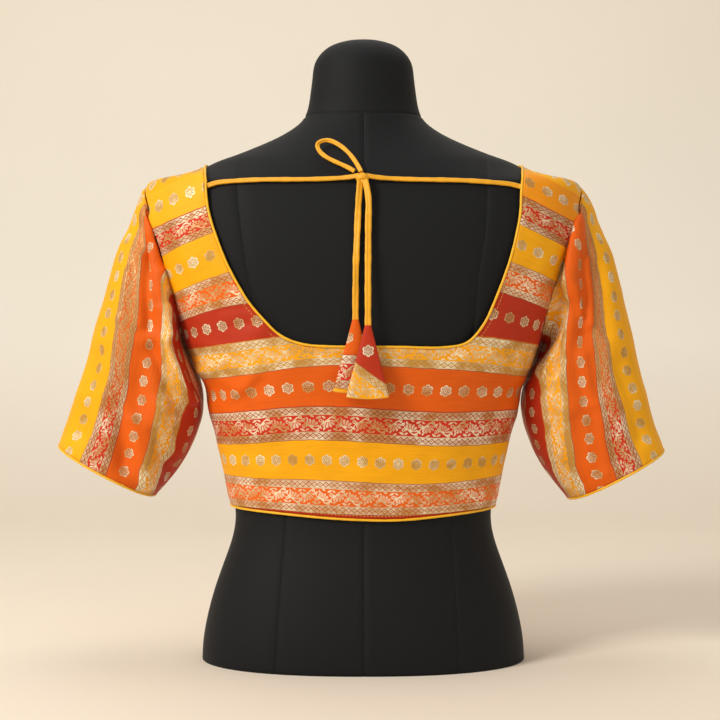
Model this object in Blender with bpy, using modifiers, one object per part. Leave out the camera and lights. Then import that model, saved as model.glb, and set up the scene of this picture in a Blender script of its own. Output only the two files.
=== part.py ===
"""Choli blouse on a limbless dress form, seen in its own frame.

The form stands on its flat base at z = 0 with its axis on the Z axis. The blouse's back
faces -Y, the wearer's right is +X. Tables are in millimetres and degrees, and the mesh
points are in metres. An angle of 0 is the centre back, 90 the wearer's right side and
180 the centre front.
"""

from collections import namedtuple
import math

import bmesh
import bpy
import numpy as np

MM = 0.001
COLLECTION_NAME = "choli_blouse"

# Driving dimensions of the cloth
CLOTH_WALL = 1.3
FORM_CLEARANCE = 1.0
SEAM_GAP = 0.3
PANEL_SEAM_SPREAD = 0.32
PIPING_RADIUS = 1.5
PIPING_SINK = 0.1
CENTRE_FRONT_GAP = 0.5

# Driving dimensions of the tie
DORI_RADIUS = 2.1
TAIL_RADIUS = 2.5
KNOT_RADII = (5.5, 4.0, 5.0)
KNOT_PLACE = (-1.0, -89.6, 466.0)

# Grid densities
FORM_RING_POINTS = 40
PANEL_ROWS = 10
HEM_COLUMNS = 8
SIDE_COLUMNS = 8
SLEEVE_RINGS = 13
SLEEVE_RING_POINTS = 24
SLEEVE_RING_CROWDING = 1.15
STRETCH_POINTS = 16
LOOP_POINTS = 22
TAIL_POINTS = 14
KNOT_SEGMENTS = (12, 8)
LATKAN_RING_POINTS = 14

# Fineness of the worked-out lines
PROFILE_SAMPLES = 900
NECK_LINE_POINTS = 160
HALVINGS = 36

Section = namedtuple("Section", "z half_width back front square")
FORM_SECTIONS = [
    Section(0, 160.0, 103.5, 102.0, 2.30),
    Section(14, 159.3, 103.0, 101.5, 2.30),
    Section(40, 155.2, 99.8, 98.5, 2.30),
    Section(70, 147.2, 93.2, 94.5, 2.30),
    Section(100, 136.6, 84.0, 89.0, 2.28),
    Section(118, 130.6, 78.2, 86.0, 2.26),
    Section(137, 127.3, 74.8, 84.2, 2.25),
    Section(158, 128.9, 74.3, 84.6, 2.26),
    Section(185, 134.4, 77.0, 87.0, 2.30),
    Section(220, 142.0, 82.5, 91.0, 2.34),
    Section(250, 148.8, 87.5, 95.5, 2.40),
    Section(282, 156.8, 92.5, 101.5, 2.50),
    Section(315, 167.0, 96.5, 107.0, 2.62),
    Section(345, 178.0, 98.7, 107.5, 2.75),
    Section(375, 190.0, 98.8, 99.5, 2.88),
    Section(402, 200.0, 97.0, 88.5, 2.95),
    Section(425, 206.4, 93.6, 78.0, 2.95),
    Section(445, 211.0, 89.0, 68.5, 2.92),
    Section(457, 212.0, 85.6, 62.5, 2.85),
    Section(465, 210.4, 82.8, 57.5, 2.78),
    Section(468.6, 203.2, 81.2, 55.2, 2.72),
    Section(471.8, 190.0, 79.8, 53.2, 2.68),
    Section(476.6, 175.2, 77.4, 51.0, 2.60),
    Section(483, 161.4, 73.8, 48.4, 2.52),
    Section(489, 150.4, 70.3, 46.5, 2.44),
    Section(496, 132.4, 66.2, 45.0, 2.34),
    Section(505, 109.8, 61.6, 43.8, 2.22),
    Section(515, 87.4, 57.4, 43.6, 2.12),
    Section(525, 70.4, 54.3, 44.6, 2.05),
    Section(535, 59.8, 52.0, 46.4, 2.00),
    Section(546, 55.2, 50.4, 48.2, 2.00),
    Section(560, 52.8, 49.0, 49.6, 2.00),
    Section(578, 50.6, 46.9, 50.2, 2.00),
    Section(590, 48.6, 44.4, 48.8, 2.00),
    Section(600, 42.6, 38.4, 43.0, 2.00),
    Section(607, 34.0, 30.2, 34.6, 2.00),
    Section(612, 20.5, 17.6, 21.2, 2.00),
]
FORM_TOP = (0.0, 2.0, 614.0)
FORM_RING_HEIGHTS = [
    0, 7, 26, 50, 76, 98, 116, 131, 145, 160, 180, 205, 235, 268, 300, 330, 358, 384, 406, 426,
    443, 455, 464, 471, 477, 483, 489, 497, 507, 518, 530, 544, 562, 582, 594, 602, 608, 612,
]

Bust = namedtuple("Bust", "angle z reach angle_spread z_spread")
BUST = Bust(angle=141, z=322, reach=15, angle_spread=21, z_spread=40)

# How far the cloth stands off the form, beyond its clearance
Ease = namedtuple("Ease", "z side back front")
EASES = [
    Ease(100, 0.2, 0.3, 0.3),
    Ease(146, 0.6, 0.8, 0.6),
    Ease(162, 3.0, 3.4, 2.2),
    Ease(195, 2.0, 1.6, 2.2),
    Ease(220, 2.4, 1.8, 2.4),
    Ease(240, 3.8, 2.0, 2.6),
    Ease(256, 3.0, 2.0, 2.6),
    Ease(271, 1.4, 2.2, 2.4),
    Ease(280, 2.6, 2.2, 2.2),
    Ease(291, 6.8, 2.0, 2.0),
    Ease(314, 8.4, 1.6, 2.6),
    Ease(345, 6.4, 1.6, 2.6),
    Ease(400, 3.6, 1.4, 1.4),
    Ease(440, 1.6, 1.9, 1.3),
    Ease(465, 2.4, 5.0, 1.9),
    Ease(487, 0.8, 1.2, 0.8),
]

# Cut edge of the back neckline, from the centre outwards on each side
NeckPoint = namedtuple("NeckPoint", "half_width z")
BACK_NECK_LEFT = [
    NeckPoint(0, 304.6), NeckPoint(34, 304.8), NeckPoint(58, 306.6), NeckPoint(76, 313.2),
    NeckPoint(90, 325.4), NeckPoint(104, 341.0), NeckPoint(117, 361.0), NeckPoint(129, 384.0),
    NeckPoint(139, 408.0), NeckPoint(147.5, 434.0), NeckPoint(154, 460.0), NeckPoint(157.5, 477.0),
]
BACK_NECK_RIGHT = [
    NeckPoint(0, 304.6), NeckPoint(45, 304.6), NeckPoint(78, 304.9), NeckPoint(94, 307.6),
    NeckPoint(104, 315.0), NeckPoint(113, 327.0), NeckPoint(122, 344.0), NeckPoint(131, 366.0),
    NeckPoint(139, 388.0), NeckPoint(145.5, 412.0), NeckPoint(151, 438.0), NeckPoint(156, 462.0),
    NeckPoint(158.5, 477.0),
]
FRONT_NECK = [
    NeckPoint(0, 368.0), NeckPoint(34, 370.5), NeckPoint(66, 379.0), NeckPoint(94, 394.0),
    NeckPoint(117, 414.0), NeckPoint(135, 438.0), NeckPoint(148, 462.0), NeckPoint(156, 478.0),
]
NECK_CORNER_STARTS = {"left": 0.24, "right": 0.29}
NECK_UNDERARM_STARTS = {"left": 0.40, "right": 0.42}

# Shoulder seam, a little behind the ridge
SHOULDER_NECK = (85.5, 487.6)
SHOULDER_SEAM_STEP = 1
FRONT_RIDGE_Z = 488.2

# Side view of the armhole: an egg about this centre
ARMHOLE_BOTTOM = 316.0
ARMHOLE_TOP = 466.2
ARMHOLE_BACK = 50.0
ARMHOLE_FRONT = 45.0
ARMHOLE_SQUARE = 2.25

# Height of the cloth's cut edge at the hem
HemPoint = namedtuple("HemPoint", "angle z")
HEM_POINTS = [
    HemPoint(-180, 149.0), HemPoint(-130, 150.5), HemPoint(-90, 153.0), HemPoint(-55, 150.0),
    HemPoint(-25, 146.0), HemPoint(0, 144.3), HemPoint(25, 144.0), HemPoint(55, 148.0),
    HemPoint(90, 152.6), HemPoint(130, 150.5), HemPoint(180, 149.0),
]

# Side view of each sleeve seen from behind: its outer and inner lines
SleeveRow = namedtuple("SleeveRow", "along outer_x outer_z inner_x inner_z back front")
SLEEVE_ROWS = {
    "left": [
        SleeveRow(0.00, 213.0, 468.6, 176.5, 317.6, 50.0, 45.0),
        SleeveRow(0.05, 218.6, 463.4, 177.6, 311.0, 55.0, 50.0),
        SleeveRow(0.12, 226.0, 447.0, 171.6, 295.0, 60.0, 55.0),
        SleeveRow(0.24, 236.0, 418.0, 162.8, 273.0, 64.0, 59.0),
        SleeveRow(0.40, 249.0, 376.0, 160.4, 254.0, 64.5, 60.0),
        SleeveRow(0.56, 261.4, 334.0, 163.0, 234.0, 62.0, 59.0),
        SleeveRow(0.72, 276.6, 285.0, 173.6, 206.0, 60.0, 58.0),
        SleeveRow(0.86, 291.4, 243.0, 189.6, 180.0, 58.5, 57.0),
        SleeveRow(1.00, 302.6, 212.4, 206.6, 161.0, 57.0, 56.0),
    ],
    "right": [
        SleeveRow(0.00, 213.5, 468.6, 176.5, 317.6, 50.0, 45.0),
        SleeveRow(0.05, 220.0, 463.4, 177.6, 311.0, 55.0, 50.0),
        SleeveRow(0.12, 229.6, 447.0, 171.6, 295.0, 60.0, 55.0),
        SleeveRow(0.24, 239.6, 418.0, 161.2, 270.0, 63.0, 58.0),
        SleeveRow(0.40, 250.0, 376.0, 158.6, 248.0, 63.5, 60.0),
        SleeveRow(0.56, 260.6, 334.0, 162.6, 226.0, 61.5, 59.0),
        SleeveRow(0.72, 272.6, 285.0, 172.6, 201.0, 60.0, 58.0),
        SleeveRow(0.86, 286.0, 243.0, 187.6, 178.0, 58.5, 57.0),
        SleeveRow(1.00, 298.6, 208.0, 203.6, 158.0, 57.0, 56.0),
    ],
}
SLEEVE_SEAM_OFFSET = 3.1
SLEEVE_BLEND = 0.10
SLEEVE_BODY_GAP = 3.8
SLEEVE_SQUARE = 2.2

# Soft folds, as lines seen from behind (face -1) or from the front (face 1)
FOLD_FADE_DEPTH = 20
Fold = namedtuple("Fold", "face x1 z1 x2 z2 width height")
FOLDS = [
    Fold(-1, -206, 430, -196, 352, 9, 5.0),
    Fold(-1, -218, 424, -208, 330, 11, -7.5),
    Fold(-1, -240, 400, -262, 262, 20, 4.0),
    Fold(-1, -210, 300, -228, 200, 12, -5.0),
    Fold(-1, -196, 250, -212, 178, 10, 4.5),
    Fold(-1, 208, 432, 200, 360, 9, 4.5),
    Fold(-1, 222, 430, 214, 322, 11, -6.5),
    Fold(-1, 246, 396, 262, 262, 20, 4.0),
    Fold(-1, 206, 306, 236, 196, 13, -5.0),
    Fold(-1, 196, 246, 214, 178, 10, 4.0),
    Fold(1, -214, 424, -206, 338, 12, -6.0),
    Fold(1, -222, 300, -240, 205, 14, -4.5),
    Fold(1, 214, 424, 206, 338, 12, -6.0),
    Fold(1, 222, 300, 240, 205, 14, -4.5),
    Fold(-1, -150, 286, -96, 322, 9, 2.4),
    Fold(-1, 146, 284, 104, 318, 9, 2.2),
    Fold(-1, -132, 214, -60, 236, 9, 1.6),
    Fold(-1, 128, 206, 62, 226, 9, 1.6),
]

# Route of each stretch of the tie, as a reader would trace it with a finger
RoutePoint = namedtuple("RoutePoint", "x z lift")
DORI_LEFT_ROUTE = [
    RoutePoint(-148.4, 458.8, 3.2), RoutePoint(-128, 460.4, 3.0), RoutePoint(-96, 463.2, 2.8),
    RoutePoint(-60, 464.4, 2.8), RoutePoint(-28, 465.2, 3.0), RoutePoint(-6.8, 465.8, 6.4),
]
DORI_RIGHT_ROUTE = [
    RoutePoint(149.0, 457.4, 3.2), RoutePoint(128, 459.4, 3.0), RoutePoint(96, 463.0, 2.8),
    RoutePoint(60, 464.2, 2.8), RoutePoint(28, 465.0, 3.0), RoutePoint(4.9, 465.8, 6.4),
]
DORI_LOOP_ROUTE = [
    RoutePoint(-2.2, 468.1, 9.4), RoutePoint(-8.2, 479.4, 8.4), RoutePoint(-16.0, 489.2, 8.6),
    RoutePoint(-26.4, 497.6, 8.6), RoutePoint(-36.4, 500.2, 8.2), RoutePoint(-42.4, 496.8, 8.0),
    RoutePoint(-41.8, 490.4, 7.6), RoutePoint(-34.2, 483.4, 6.8), RoutePoint(-22.6, 478.0, 5.8),
    RoutePoint(-14.4, 474.4, 5.2), RoutePoint(-8.4, 471.0, 5.4),
]
TailPoint = namedtuple("TailPoint", "x y z")
TAIL_LEFT_ROUTE = [
    TailPoint(-3.6, -90.6, 461.0), TailPoint(-4.4, -94.4, 446.0), TailPoint(-5.4, -99.0, 425.0),
    TailPoint(-6.4, -102.0, 400.0), TailPoint(-7.2, -103.6, 372.0), TailPoint(-7.4, -104.6, 346.0),
    TailPoint(-7.4, -105.0, 333.2),
]
TAIL_RIGHT_ROUTE = [
    TailPoint(2.0, -92.4, 461.8), TailPoint(4.6, -96.0, 447.0), TailPoint(4.6, -100.0, 425.0),
    TailPoint(4.4, -104.2, 400.0), TailPoint(4.2, -107.0, 372.0), TailPoint(4.2, -109.2, 346.0),
    TailPoint(4.2, -110.4, 327.6),
]

# Folded cloth drops: a flat cone from its tip down
Latkan = namedtuple("Latkan", "x y z height lean_x lean_y")
LATKANS = {
    "left": Latkan(-7.4, -105.0, 332.6, 66.0, -0.6, -0.6),
    "right": Latkan(4.2, -110.4, 327.0, 66.0, -0.4, -3.4),
}
LatkanRow = namedtuple("LatkanRow", "down half_width half_thickness")
LATKAN_ROWS = [
    LatkanRow(0.00, 3.0, 2.2), LatkanRow(0.20, 6.4, 2.5), LatkanRow(0.45, 10.8, 2.7),
    LatkanRow(0.70, 15.2, 2.8), LatkanRow(0.90, 18.8, 2.7), LatkanRow(1.00, 19.6, 2.1),
]
Finish = namedtuple("Finish", "colour roughness")
FINISHES = {
    "dress_form": Finish((0.018, 0.019, 0.021), 0.85),
    "back": Finish((0.80, 0.12, 0.010), 0.45),
    "front_left": Finish((0.86, 0.30, 0.010), 0.45),
    "front_right": Finish((0.86, 0.30, 0.010), 0.45),
    "sleeve_left": Finish((0.90, 0.42, 0.012), 0.45),
    "sleeve_right": Finish((0.90, 0.42, 0.012), 0.45),
    "latkan_left": Finish((0.84, 0.14, 0.010), 0.45),
    "latkan_right": Finish((0.54, 0.05, 0.020), 0.45),
}
PIPING_FINISH = Finish((0.95, 0.54, 0.010), 0.40)


# Curves through the tables

def natural_spline(knots, values, at):
    """Cubic curve with even curvature through the rows of values at the knots."""
    knots = np.asarray(knots, float)
    values = np.asarray(values, float)
    spans = np.diff(knots)
    count = len(knots)
    system = np.eye(count)
    right = np.zeros_like(values)
    for row in range(1, count - 1):
        before, after = spans[row - 1], spans[row]
        system[row, row - 1:row + 2] = before, 2 * (before + after), after
        rise_after = (values[row + 1] - values[row]) / after
        rise_before = (values[row] - values[row - 1]) / before
        right[row] = 6 * (rise_after - rise_before)
    bend = np.linalg.solve(system, right)
    span = np.clip(np.searchsorted(knots, at, side="right") - 1, 0, count - 2)
    step = spans[span][:, None]
    far = ((at - knots[span]) / spans[span])[:, None]
    near = 1 - far
    curved = (near**3 - near) * bend[span] + (far**3 - far) * bend[span + 1]
    return near * values[span] + far * values[span + 1] + curved * step**2 / 6


def lengths_along(points):
    """Distance along a line of points at each of them."""
    steps = np.linalg.norm(np.diff(points, axis=0), axis=1)
    return np.concatenate([[0.0], np.cumsum(steps)])


def smooth_line(points, count):
    """The smooth line through points, as count points evenly spaced on it."""
    points = np.asarray(points, float)
    travelled = lengths_along(points)
    fine = natural_spline(travelled, points, np.linspace(0, travelled[-1], 12 * count))
    return evenly(fine, count)


def evenly(line, count, start=0.0, end=1.0):
    """Points evenly spaced between two fractions of a line's length."""
    travelled = lengths_along(line)
    at = np.linspace(start, end, count) * travelled[-1]
    return np.stack([np.interp(at, travelled, column) for column in line.T], axis=1)


def profile_samples():
    """The form's sections, read densely along its smooth side line."""
    rows = np.array(FORM_SECTIONS, float)
    travelled = lengths_along(rows[:, :2])
    return natural_spline(travelled, rows, np.linspace(0, travelled[-1], PROFILE_SAMPLES))


PROFILE = profile_samples()


def section_at(z):
    """Half width, back depth, front depth and squareness of the form at a height."""
    return [np.interp(z, PROFILE[:, 0], PROFILE[:, column]) for column in range(1, 5)]


# The form's surface, and the cloth's surface outside it

def form_point(angle, z):
    """Point of the form's skin at an angle in degrees and a height."""
    turn = np.radians(angle)
    sideways = np.sin(turn)
    forwards = -np.cos(turn)
    half_width, back, front, square = section_at(z)
    depth = np.where(forwards < 0, back, front)
    spread = np.abs(sideways / half_width)**square + np.abs(forwards / depth)**square
    radius = spread**(-1 / square)
    from_apex = (np.abs(angle) - BUST.angle) / BUST.angle_spread
    height = (z - BUST.z) / BUST.z_spread
    radius = radius + BUST.reach * np.exp(-from_apex**2 - height**2)
    return np.stack([radius * sideways, radius * forwards, z + 0 * radius], axis=-1)


def form_normal(angle, z):
    """Outward direction of the form's skin."""
    around = form_point(angle + 0.2, z) - form_point(angle - 0.2, z)
    upward = form_point(angle, z + 0.4) - form_point(angle, z - 0.4)
    across = np.cross(around, upward)
    return across / np.linalg.norm(across, axis=-1, keepdims=True)


def fold_height(points):
    """How far the folds lift the cloth at these points."""
    total = np.zeros(points.shape[:-1])
    for fold in FOLDS:
        start = np.array([fold.x1, fold.z1])
        run = np.array([fold.x2, fold.z2]) - start
        offset = points[..., [0, 2]] - start
        place = np.clip((offset @ run) / (run @ run), 0, 1)
        away = np.linalg.norm(offset - place[..., None] * run, axis=-1)
        facing = np.clip(points[..., 1] * fold.face / FOLD_FADE_DEPTH, 0, 1)
        total += facing * fold.height * np.exp(-(away / fold.width)**2)
    return total


def ease_at(angle, z):
    """How far the cloth hangs off the form at an angle and a height."""
    rows = np.array(EASES)
    side, back, front = (np.interp(z, rows[:, 0], rows[:, column]) for column in (1, 2, 3))
    sideness = np.abs(np.sin(np.radians(angle)))**6
    rest = np.where(np.abs(angle) < 90, back, front)
    return sideness * side + (1 - sideness) * rest


def cloth_point(angle, z, lift=0.0):
    """Point of the blouse's outer face, lifted off it by a further distance."""
    angle = np.asarray(angle, float)
    z = np.asarray(z, float)
    skin = form_point(angle, z)
    slack = np.maximum(ease_at(angle, z) + fold_height(skin), 0)
    stand_off = CLOTH_WALL + FORM_CLEARANCE + slack + lift
    return skin + form_normal(angle, z) * stand_off[..., None]


def angle_where(grows, wanted, low, high):
    """Angle between two limits where a value that grows with the angle is as wanted."""
    for _ in range(HALVINGS):
        middle = (low + high) / 2
        short = grows(middle) < wanted
        low, high = np.where(short, middle, low), np.where(short, high, middle)
    return (low + high) / 2


def angle_for_depth(y, z):
    """Angle on the wearer's right where the cloth reaches a place from back to front."""
    return angle_where(lambda angle: cloth_point(angle, z)[..., 1], y, 0 * z, 0 * z + 180.0)


def angle_for_half_width(half_width, z, front):
    """Angle on the back, or from the centre front, where the cloth is this wide."""
    def width(angle):
        return cloth_point(180 - angle if front else angle, z)[..., 0]
    found = angle_where(width, half_width, 0.0, 90.0)
    return 180 - found if front else found


# Edges of the panels, as lines of (angle, height)

def neck_line(points, front):
    """Neckline from the centre to the shoulder seam."""
    line = [(angle_for_half_width(point.half_width, point.z, front), point.z) for point in points]
    if front:
        line.append((90.0, FRONT_RIDGE_Z))
    line.append(SHOULDER_NECK)
    return smooth_line(line, NECK_LINE_POINTS)


def spread_columns(line, side):
    """Columns of a neckline: along the scoop, round its corner, and up to the shoulder."""
    solid = np.stack([cloth_point(angle, z) for angle, z in line])
    travelled = lengths_along(solid) / lengths_along(solid)[-1]
    corner, underarm = NECK_CORNER_STARTS[side], NECK_UNDERARM_STARTS[side]
    stops = np.concatenate([
        np.linspace(0, corner, HEM_COLUMNS + 1),
        np.linspace(corner, underarm, SIDE_COLUMNS + 1)[1:],
        np.linspace(underarm, 1, armhole_columns(False) + 1)[1:],
    ])
    return np.stack([np.interp(stops, travelled, column) for column in line.T], axis=1)


def hem_height(angle):
    """Height of the cloth's cut edge at the hem."""
    rows = np.array(HEM_POINTS)
    return natural_spline(rows[:, 0], rows[:, 1:], np.atleast_1d(float(angle)))[0, 0]


def armhole_place(turn, sign):
    """Angle and height on the armhole, where turn 0 is its top, -90 its back, 180 its bottom."""
    around = math.radians(turn)
    depth = ARMHOLE_BACK if turn < 0 else ARMHOLE_FRONT
    upward, outward = math.cos(around), math.sin(around)
    scale = (abs(upward)**ARMHOLE_SQUARE + abs(outward)**ARMHOLE_SQUARE)**(-1 / ARMHOLE_SQUARE)
    middle = (ARMHOLE_TOP + ARMHOLE_BOTTOM) / 2
    z = middle + (ARMHOLE_TOP - middle) * upward * scale
    y = depth * outward * scale
    return sign * angle_for_depth(y, z), z


def armhole_columns(front):
    """Steps of the armhole from the underarm to the shoulder seam, which lies behind its top."""
    half = SLEEVE_RING_POINTS // 2
    return half + SHOULDER_SEAM_STEP if front else half - SHOULDER_SEAM_STEP


def armhole_turns(front):
    """Turns of the panel's armhole edge, the same as the points of the sleeve's first ring."""
    shoulder = -360 / SLEEVE_RING_POINTS * SHOULDER_SEAM_STEP
    return np.linspace(180 if front else -180, shoulder, armhole_columns(front) + 1)


def side_and_armhole(sign, front, hem_z):
    """A panel's edge from the side of its hem up to the tip of the shoulder."""
    side = [(sign * 90.0, z) for z in np.linspace(hem_z, ARMHOLE_BOTTOM, SIDE_COLUMNS + 1)[:-1]]
    return side + [armhole_place(turn, sign) for turn in armhole_turns(front)]


def half_back(sign):
    """Grid of (angle, height): its first row is the neckline, its last row the other edges."""
    side = "left" if sign < 0 else "right"
    points = {"left": BACK_NECK_LEFT, "right": BACK_NECK_RIGHT}[side]
    inner = spread_columns(neck_line(points, False), side) * [sign, 1.0]
    hem = [(sign * angle, hem_height(sign * angle)) for angle in np.linspace(0, 90, HEM_COLUMNS + 1)]
    outer = np.array(hem[:-1] + side_and_armhole(sign, False, hem[-1][1]))
    return ruled(inner, outer)


def half_front(sign):
    """Grid of (angle, height): the first row is the centre front and the neckline."""
    neck = evenly(neck_line(FRONT_NECK, True), armhole_columns(True) + 1) * [sign, 1.0]
    hem_z = hem_height(sign * 180.0)
    centre = [(sign * 180.0, z) for z in np.linspace(hem_z, neck[0, 1], SIDE_COLUMNS + 1)[:-1]]
    inner = np.concatenate([centre, neck])
    outer = np.array(side_and_armhole(sign, True, hem_height(sign * 90.0)))
    grid = ruled(inner, outer)
    grid[:, 0, 1] = [hem_height(angle) for angle in grid[:, 0, 0]]
    return grid


def ruled(inner, outer):
    """Grid of straight rows of (angle, height) between two edges."""
    steps = np.linspace(0, 1, PANEL_ROWS + 1)[:, None, None]
    return inner * (1 - steps) + outer * steps


def back_points(grid):
    """Cloth points of a half back, drawn back from its seams."""
    points = cloth_point(grid[..., 0], grid[..., 1])
    points[:, -1, 1] -= PANEL_SEAM_SPREAD
    points[-1, HEM_COLUMNS:HEM_COLUMNS + SIDE_COLUMNS + 1, 1] -= PANEL_SEAM_SPREAD
    return points


def front_points(grid, sign):
    """Cloth points of a front, drawn back from its seams."""
    points = cloth_point(grid[..., 0], grid[..., 1])
    points[:, -1, 1] += PANEL_SEAM_SPREAD
    points[-1, :SIDE_COLUMNS + 1, 1] += PANEL_SEAM_SPREAD
    points[0, :SIDE_COLUMNS + 1, 0] = sign * CENTRE_FRONT_GAP / 2
    return points


# The sleeves

def armhole_loop(side):
    """Armhole seam as points, and the direction that leads off the panels at each."""
    sign = -1 if side == "left" else 1
    turns = np.linspace(0, 360, SLEEVE_RING_POINTS, endpoint=False)
    wrapped = (turns + 180) % 360 - 180
    places = np.array([armhole_place(turn, sign) for turn in wrapped])
    points = cloth_point(places[:, 0], places[:, 1])
    along = np.roll(points, -1, axis=0) - np.roll(points, 1, axis=0)
    normals = form_normal(places[:, 0], places[:, 1])
    inward = sign * np.cross(along, normals)
    inward /= np.linalg.norm(inward, axis=1, keepdims=True)
    return points, inward


def sleeve_rings(side):
    """Rings of a sleeve's outer face, from the armhole to the cuff."""
    sign = -1 if side == "left" else 1
    rows = np.array(SLEEVE_ROWS[side])
    stations = np.linspace(0, 1, SLEEVE_RINGS + 1)**SLEEVE_RING_CROWDING
    values = natural_spline(rows[:, 0], rows[:, 1:], stations)
    seam, off_panel = armhole_loop(side)
    turns = np.radians(np.linspace(0, 360, SLEEVE_RING_POINTS, endpoint=False))
    outward, sideways = np.cos(turns), np.sin(turns)
    scale = (np.abs(outward)**SLEEVE_SQUARE + np.abs(sideways)**SLEEVE_SQUARE)**(-1 / SLEEVE_SQUARE)
    rings = []
    for station, (outer_x, outer_z, inner_x, inner_z, back, front) in zip(stations, values):
        outer = np.array([sign * outer_x, 0.0, outer_z])
        inner = np.array([sign * inner_x, 0.0, inner_z])
        depth = np.where(sideways < 0, back, front)
        ring = (outer + inner) / 2 + np.outer(outward * scale, (outer - inner) / 2)
        ring[:, 1] = sideways * scale * depth
        blend = min(station / SLEEVE_BLEND, 1.0)
        blend = blend * blend * (3 - 2 * blend)
        rings.append(ring * blend + (seam + off_panel * SLEEVE_SEAM_OFFSET) * (1 - blend))
    rings = np.array(rings)
    lifted = rings + folded_normals(rings, sign) * fold_height(rings)[..., None]
    lifted[1:, :, 0] = sign * np.maximum(sign * lifted[1:, :, 0], beside_body(lifted[1:]))
    lifted[0] = rings[0]
    return lifted


def beside_body(points):
    """Least half width that keeps a sleeve's points clear of the body."""
    y, z = points[..., 1], points[..., 2]
    return cloth_point(angle_for_depth(y, z), z)[..., 0] + SLEEVE_BODY_GAP


def folded_normals(rings, sign):
    """Outward directions of a sleeve's grid of rings."""
    around = np.roll(rings, -1, axis=1) - np.roll(rings, 1, axis=1)
    along = np.gradient(rings, axis=0)
    across = sign * np.cross(along, around)
    return across / np.linalg.norm(across, axis=-1, keepdims=True)


# Meshes and objects

def finish_of(name):
    """Material of a piece, from its colour and roughness."""
    finish = FINISHES.get(name, PIPING_FINISH)
    material = bpy.data.materials.new(name)
    material.use_nodes = True
    shader = material.node_tree.nodes["Principled BSDF"]
    shader.inputs["Base Color"].default_value = (*finish.colour, 1.0)
    shader.inputs["Roughness"].default_value = finish.roughness
    material.diffuse_color = (*finish.colour, 1.0)
    return material


def add_object(name, data):
    """Object of the blouse's collection with the material of its piece."""
    thing = bpy.data.objects.new(name, data)
    bpy.data.collections[COLLECTION_NAME].objects.link(thing)
    data.materials.append(finish_of(name))
    return thing


def grid_mesh(name, grid, closed, flip):
    """Mesh over a grid of points, whose rows are rings when closed."""
    rows, columns = grid.shape[:2]
    faces = []
    for row in range(rows - 1):
        for column in range(columns if closed else columns - 1):
            after = (column + 1) % columns
            corners = [
                row * columns + column, row * columns + after,
                (row + 1) * columns + after, (row + 1) * columns + column,
            ]
            faces.append(corners[::-1] if flip else corners)
    mesh = bpy.data.meshes.new(name)
    mesh.from_pydata((grid.reshape(-1, 3) * MM).tolist(), [], faces)
    mesh.shade_smooth()
    return mesh


def add_cloth(name, grid, closed=False, flip=False):
    """Cloth wall whose outer face is the grid."""
    cloth = add_object(name, grid_mesh(name, grid, closed, flip))
    wall = cloth.modifiers.new("wall", "SOLIDIFY")
    wall.thickness = CLOTH_WALL * MM
    wall.offset = -1
    return cloth


def add_loft(name, rings, tip=None):
    """Solid through rings of points, with flat ends or with a tip above the last ring."""
    mesh = grid_mesh(name, rings, True, False)
    shape = bmesh.new()
    shape.from_mesh(mesh)
    shape.verts.ensure_lookup_table()
    count = rings.shape[1]
    shape.faces.new([shape.verts[index] for index in reversed(range(count))])
    last = [shape.verts[len(shape.verts) - count + index] for index in range(count)]
    if tip is None:
        shape.faces.new(last)
    else:
        top = shape.verts.new([value * MM for value in tip])
        for index in range(count):
            shape.faces.new((last[index], last[(index + 1) % count], top))
    shape.to_mesh(mesh)
    shape.free()
    return add_object(name, mesh)


def add_tube(name, points, radius, resolution, cyclic=False):
    """Round tube along a line of points."""
    curve = bpy.data.curves.new(name, "CURVE")
    curve.dimensions = "3D"
    curve.bevel_depth = radius * MM
    curve.bevel_resolution = resolution
    curve.use_fill_caps = not cyclic
    spline = curve.splines.new("POLY")
    spline.points.add(len(points) - 1)
    for point, place in zip(spline.points, points):
        point.co = (*(place * MM), 1.0)
    spline.use_cyclic_u = cyclic
    return add_object(name, curve)


def build_form():
    """The dress form: sections from its base to the rounded top of its neck."""
    angles = np.linspace(0, 360, FORM_RING_POINTS, endpoint=False)
    wrapped = (angles + 180) % 360 - 180
    rings = np.array([form_point(wrapped, float(z)) for z in FORM_RING_HEIGHTS])
    add_loft("dress_form", rings, FORM_TOP)


def build_panels():
    """The back and the two fronts."""
    left, right = (back_points(half_back(sign)) for sign in (-1, 1))
    add_cloth("back", np.concatenate([left[:, :0:-1], right], axis=1), flip=True)
    for name, sign in (("front_left", -1), ("front_right", 1)):
        add_cloth(name, front_points(half_front(sign), sign), flip=sign < 0)


def piping_line(places, way):
    """Middle line of the piping beside a panel's edge, which is a line of (angle, height).

    The way is 1 where the piping lies above the edge as it is followed from left to right
    across the back, and -1 where it lies below.
    """
    edge = cloth_point(places[:, 0], places[:, 1])
    normals = form_normal(places[:, 0], places[:, 1])
    away = way * np.cross(normals, np.gradient(edge, axis=0))
    away /= np.linalg.norm(away, axis=1, keepdims=True)
    line = edge + away * (PIPING_RADIUS + SEAM_GAP) - normals * PIPING_SINK
    line[0, 0], line[-1, 0] = -CENTRE_FRONT_GAP, CENTRE_FRONT_GAP
    return line


def build_panel_piping():
    """Piping round the neck and along the hem, open at the centre front."""
    backs, fronts = [half_back(sign) for sign in (-1, 1)], [half_front(sign) for sign in (-1, 1)]
    back = np.concatenate([backs[0][:, :0:-1], backs[1]], axis=1)
    front_neck = [front[0, SIDE_COLUMNS:-1] for front in fronts]
    neck = np.concatenate([front_neck[0], back[0], front_neck[1][::-1]])
    add_tube("neck_piping", piping_line(neck, 1), PIPING_RADIUS, 1)
    middle = back.shape[1] // 2
    back_hem = back[-1, middle - HEM_COLUMNS:middle + HEM_COLUMNS + 1]
    hem = np.concatenate([fronts[0][:-1, 0], back_hem, fronts[1][:-1, 0][::-1]])
    add_tube("hem_piping", piping_line(hem, -1), PIPING_RADIUS, 1)


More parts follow.
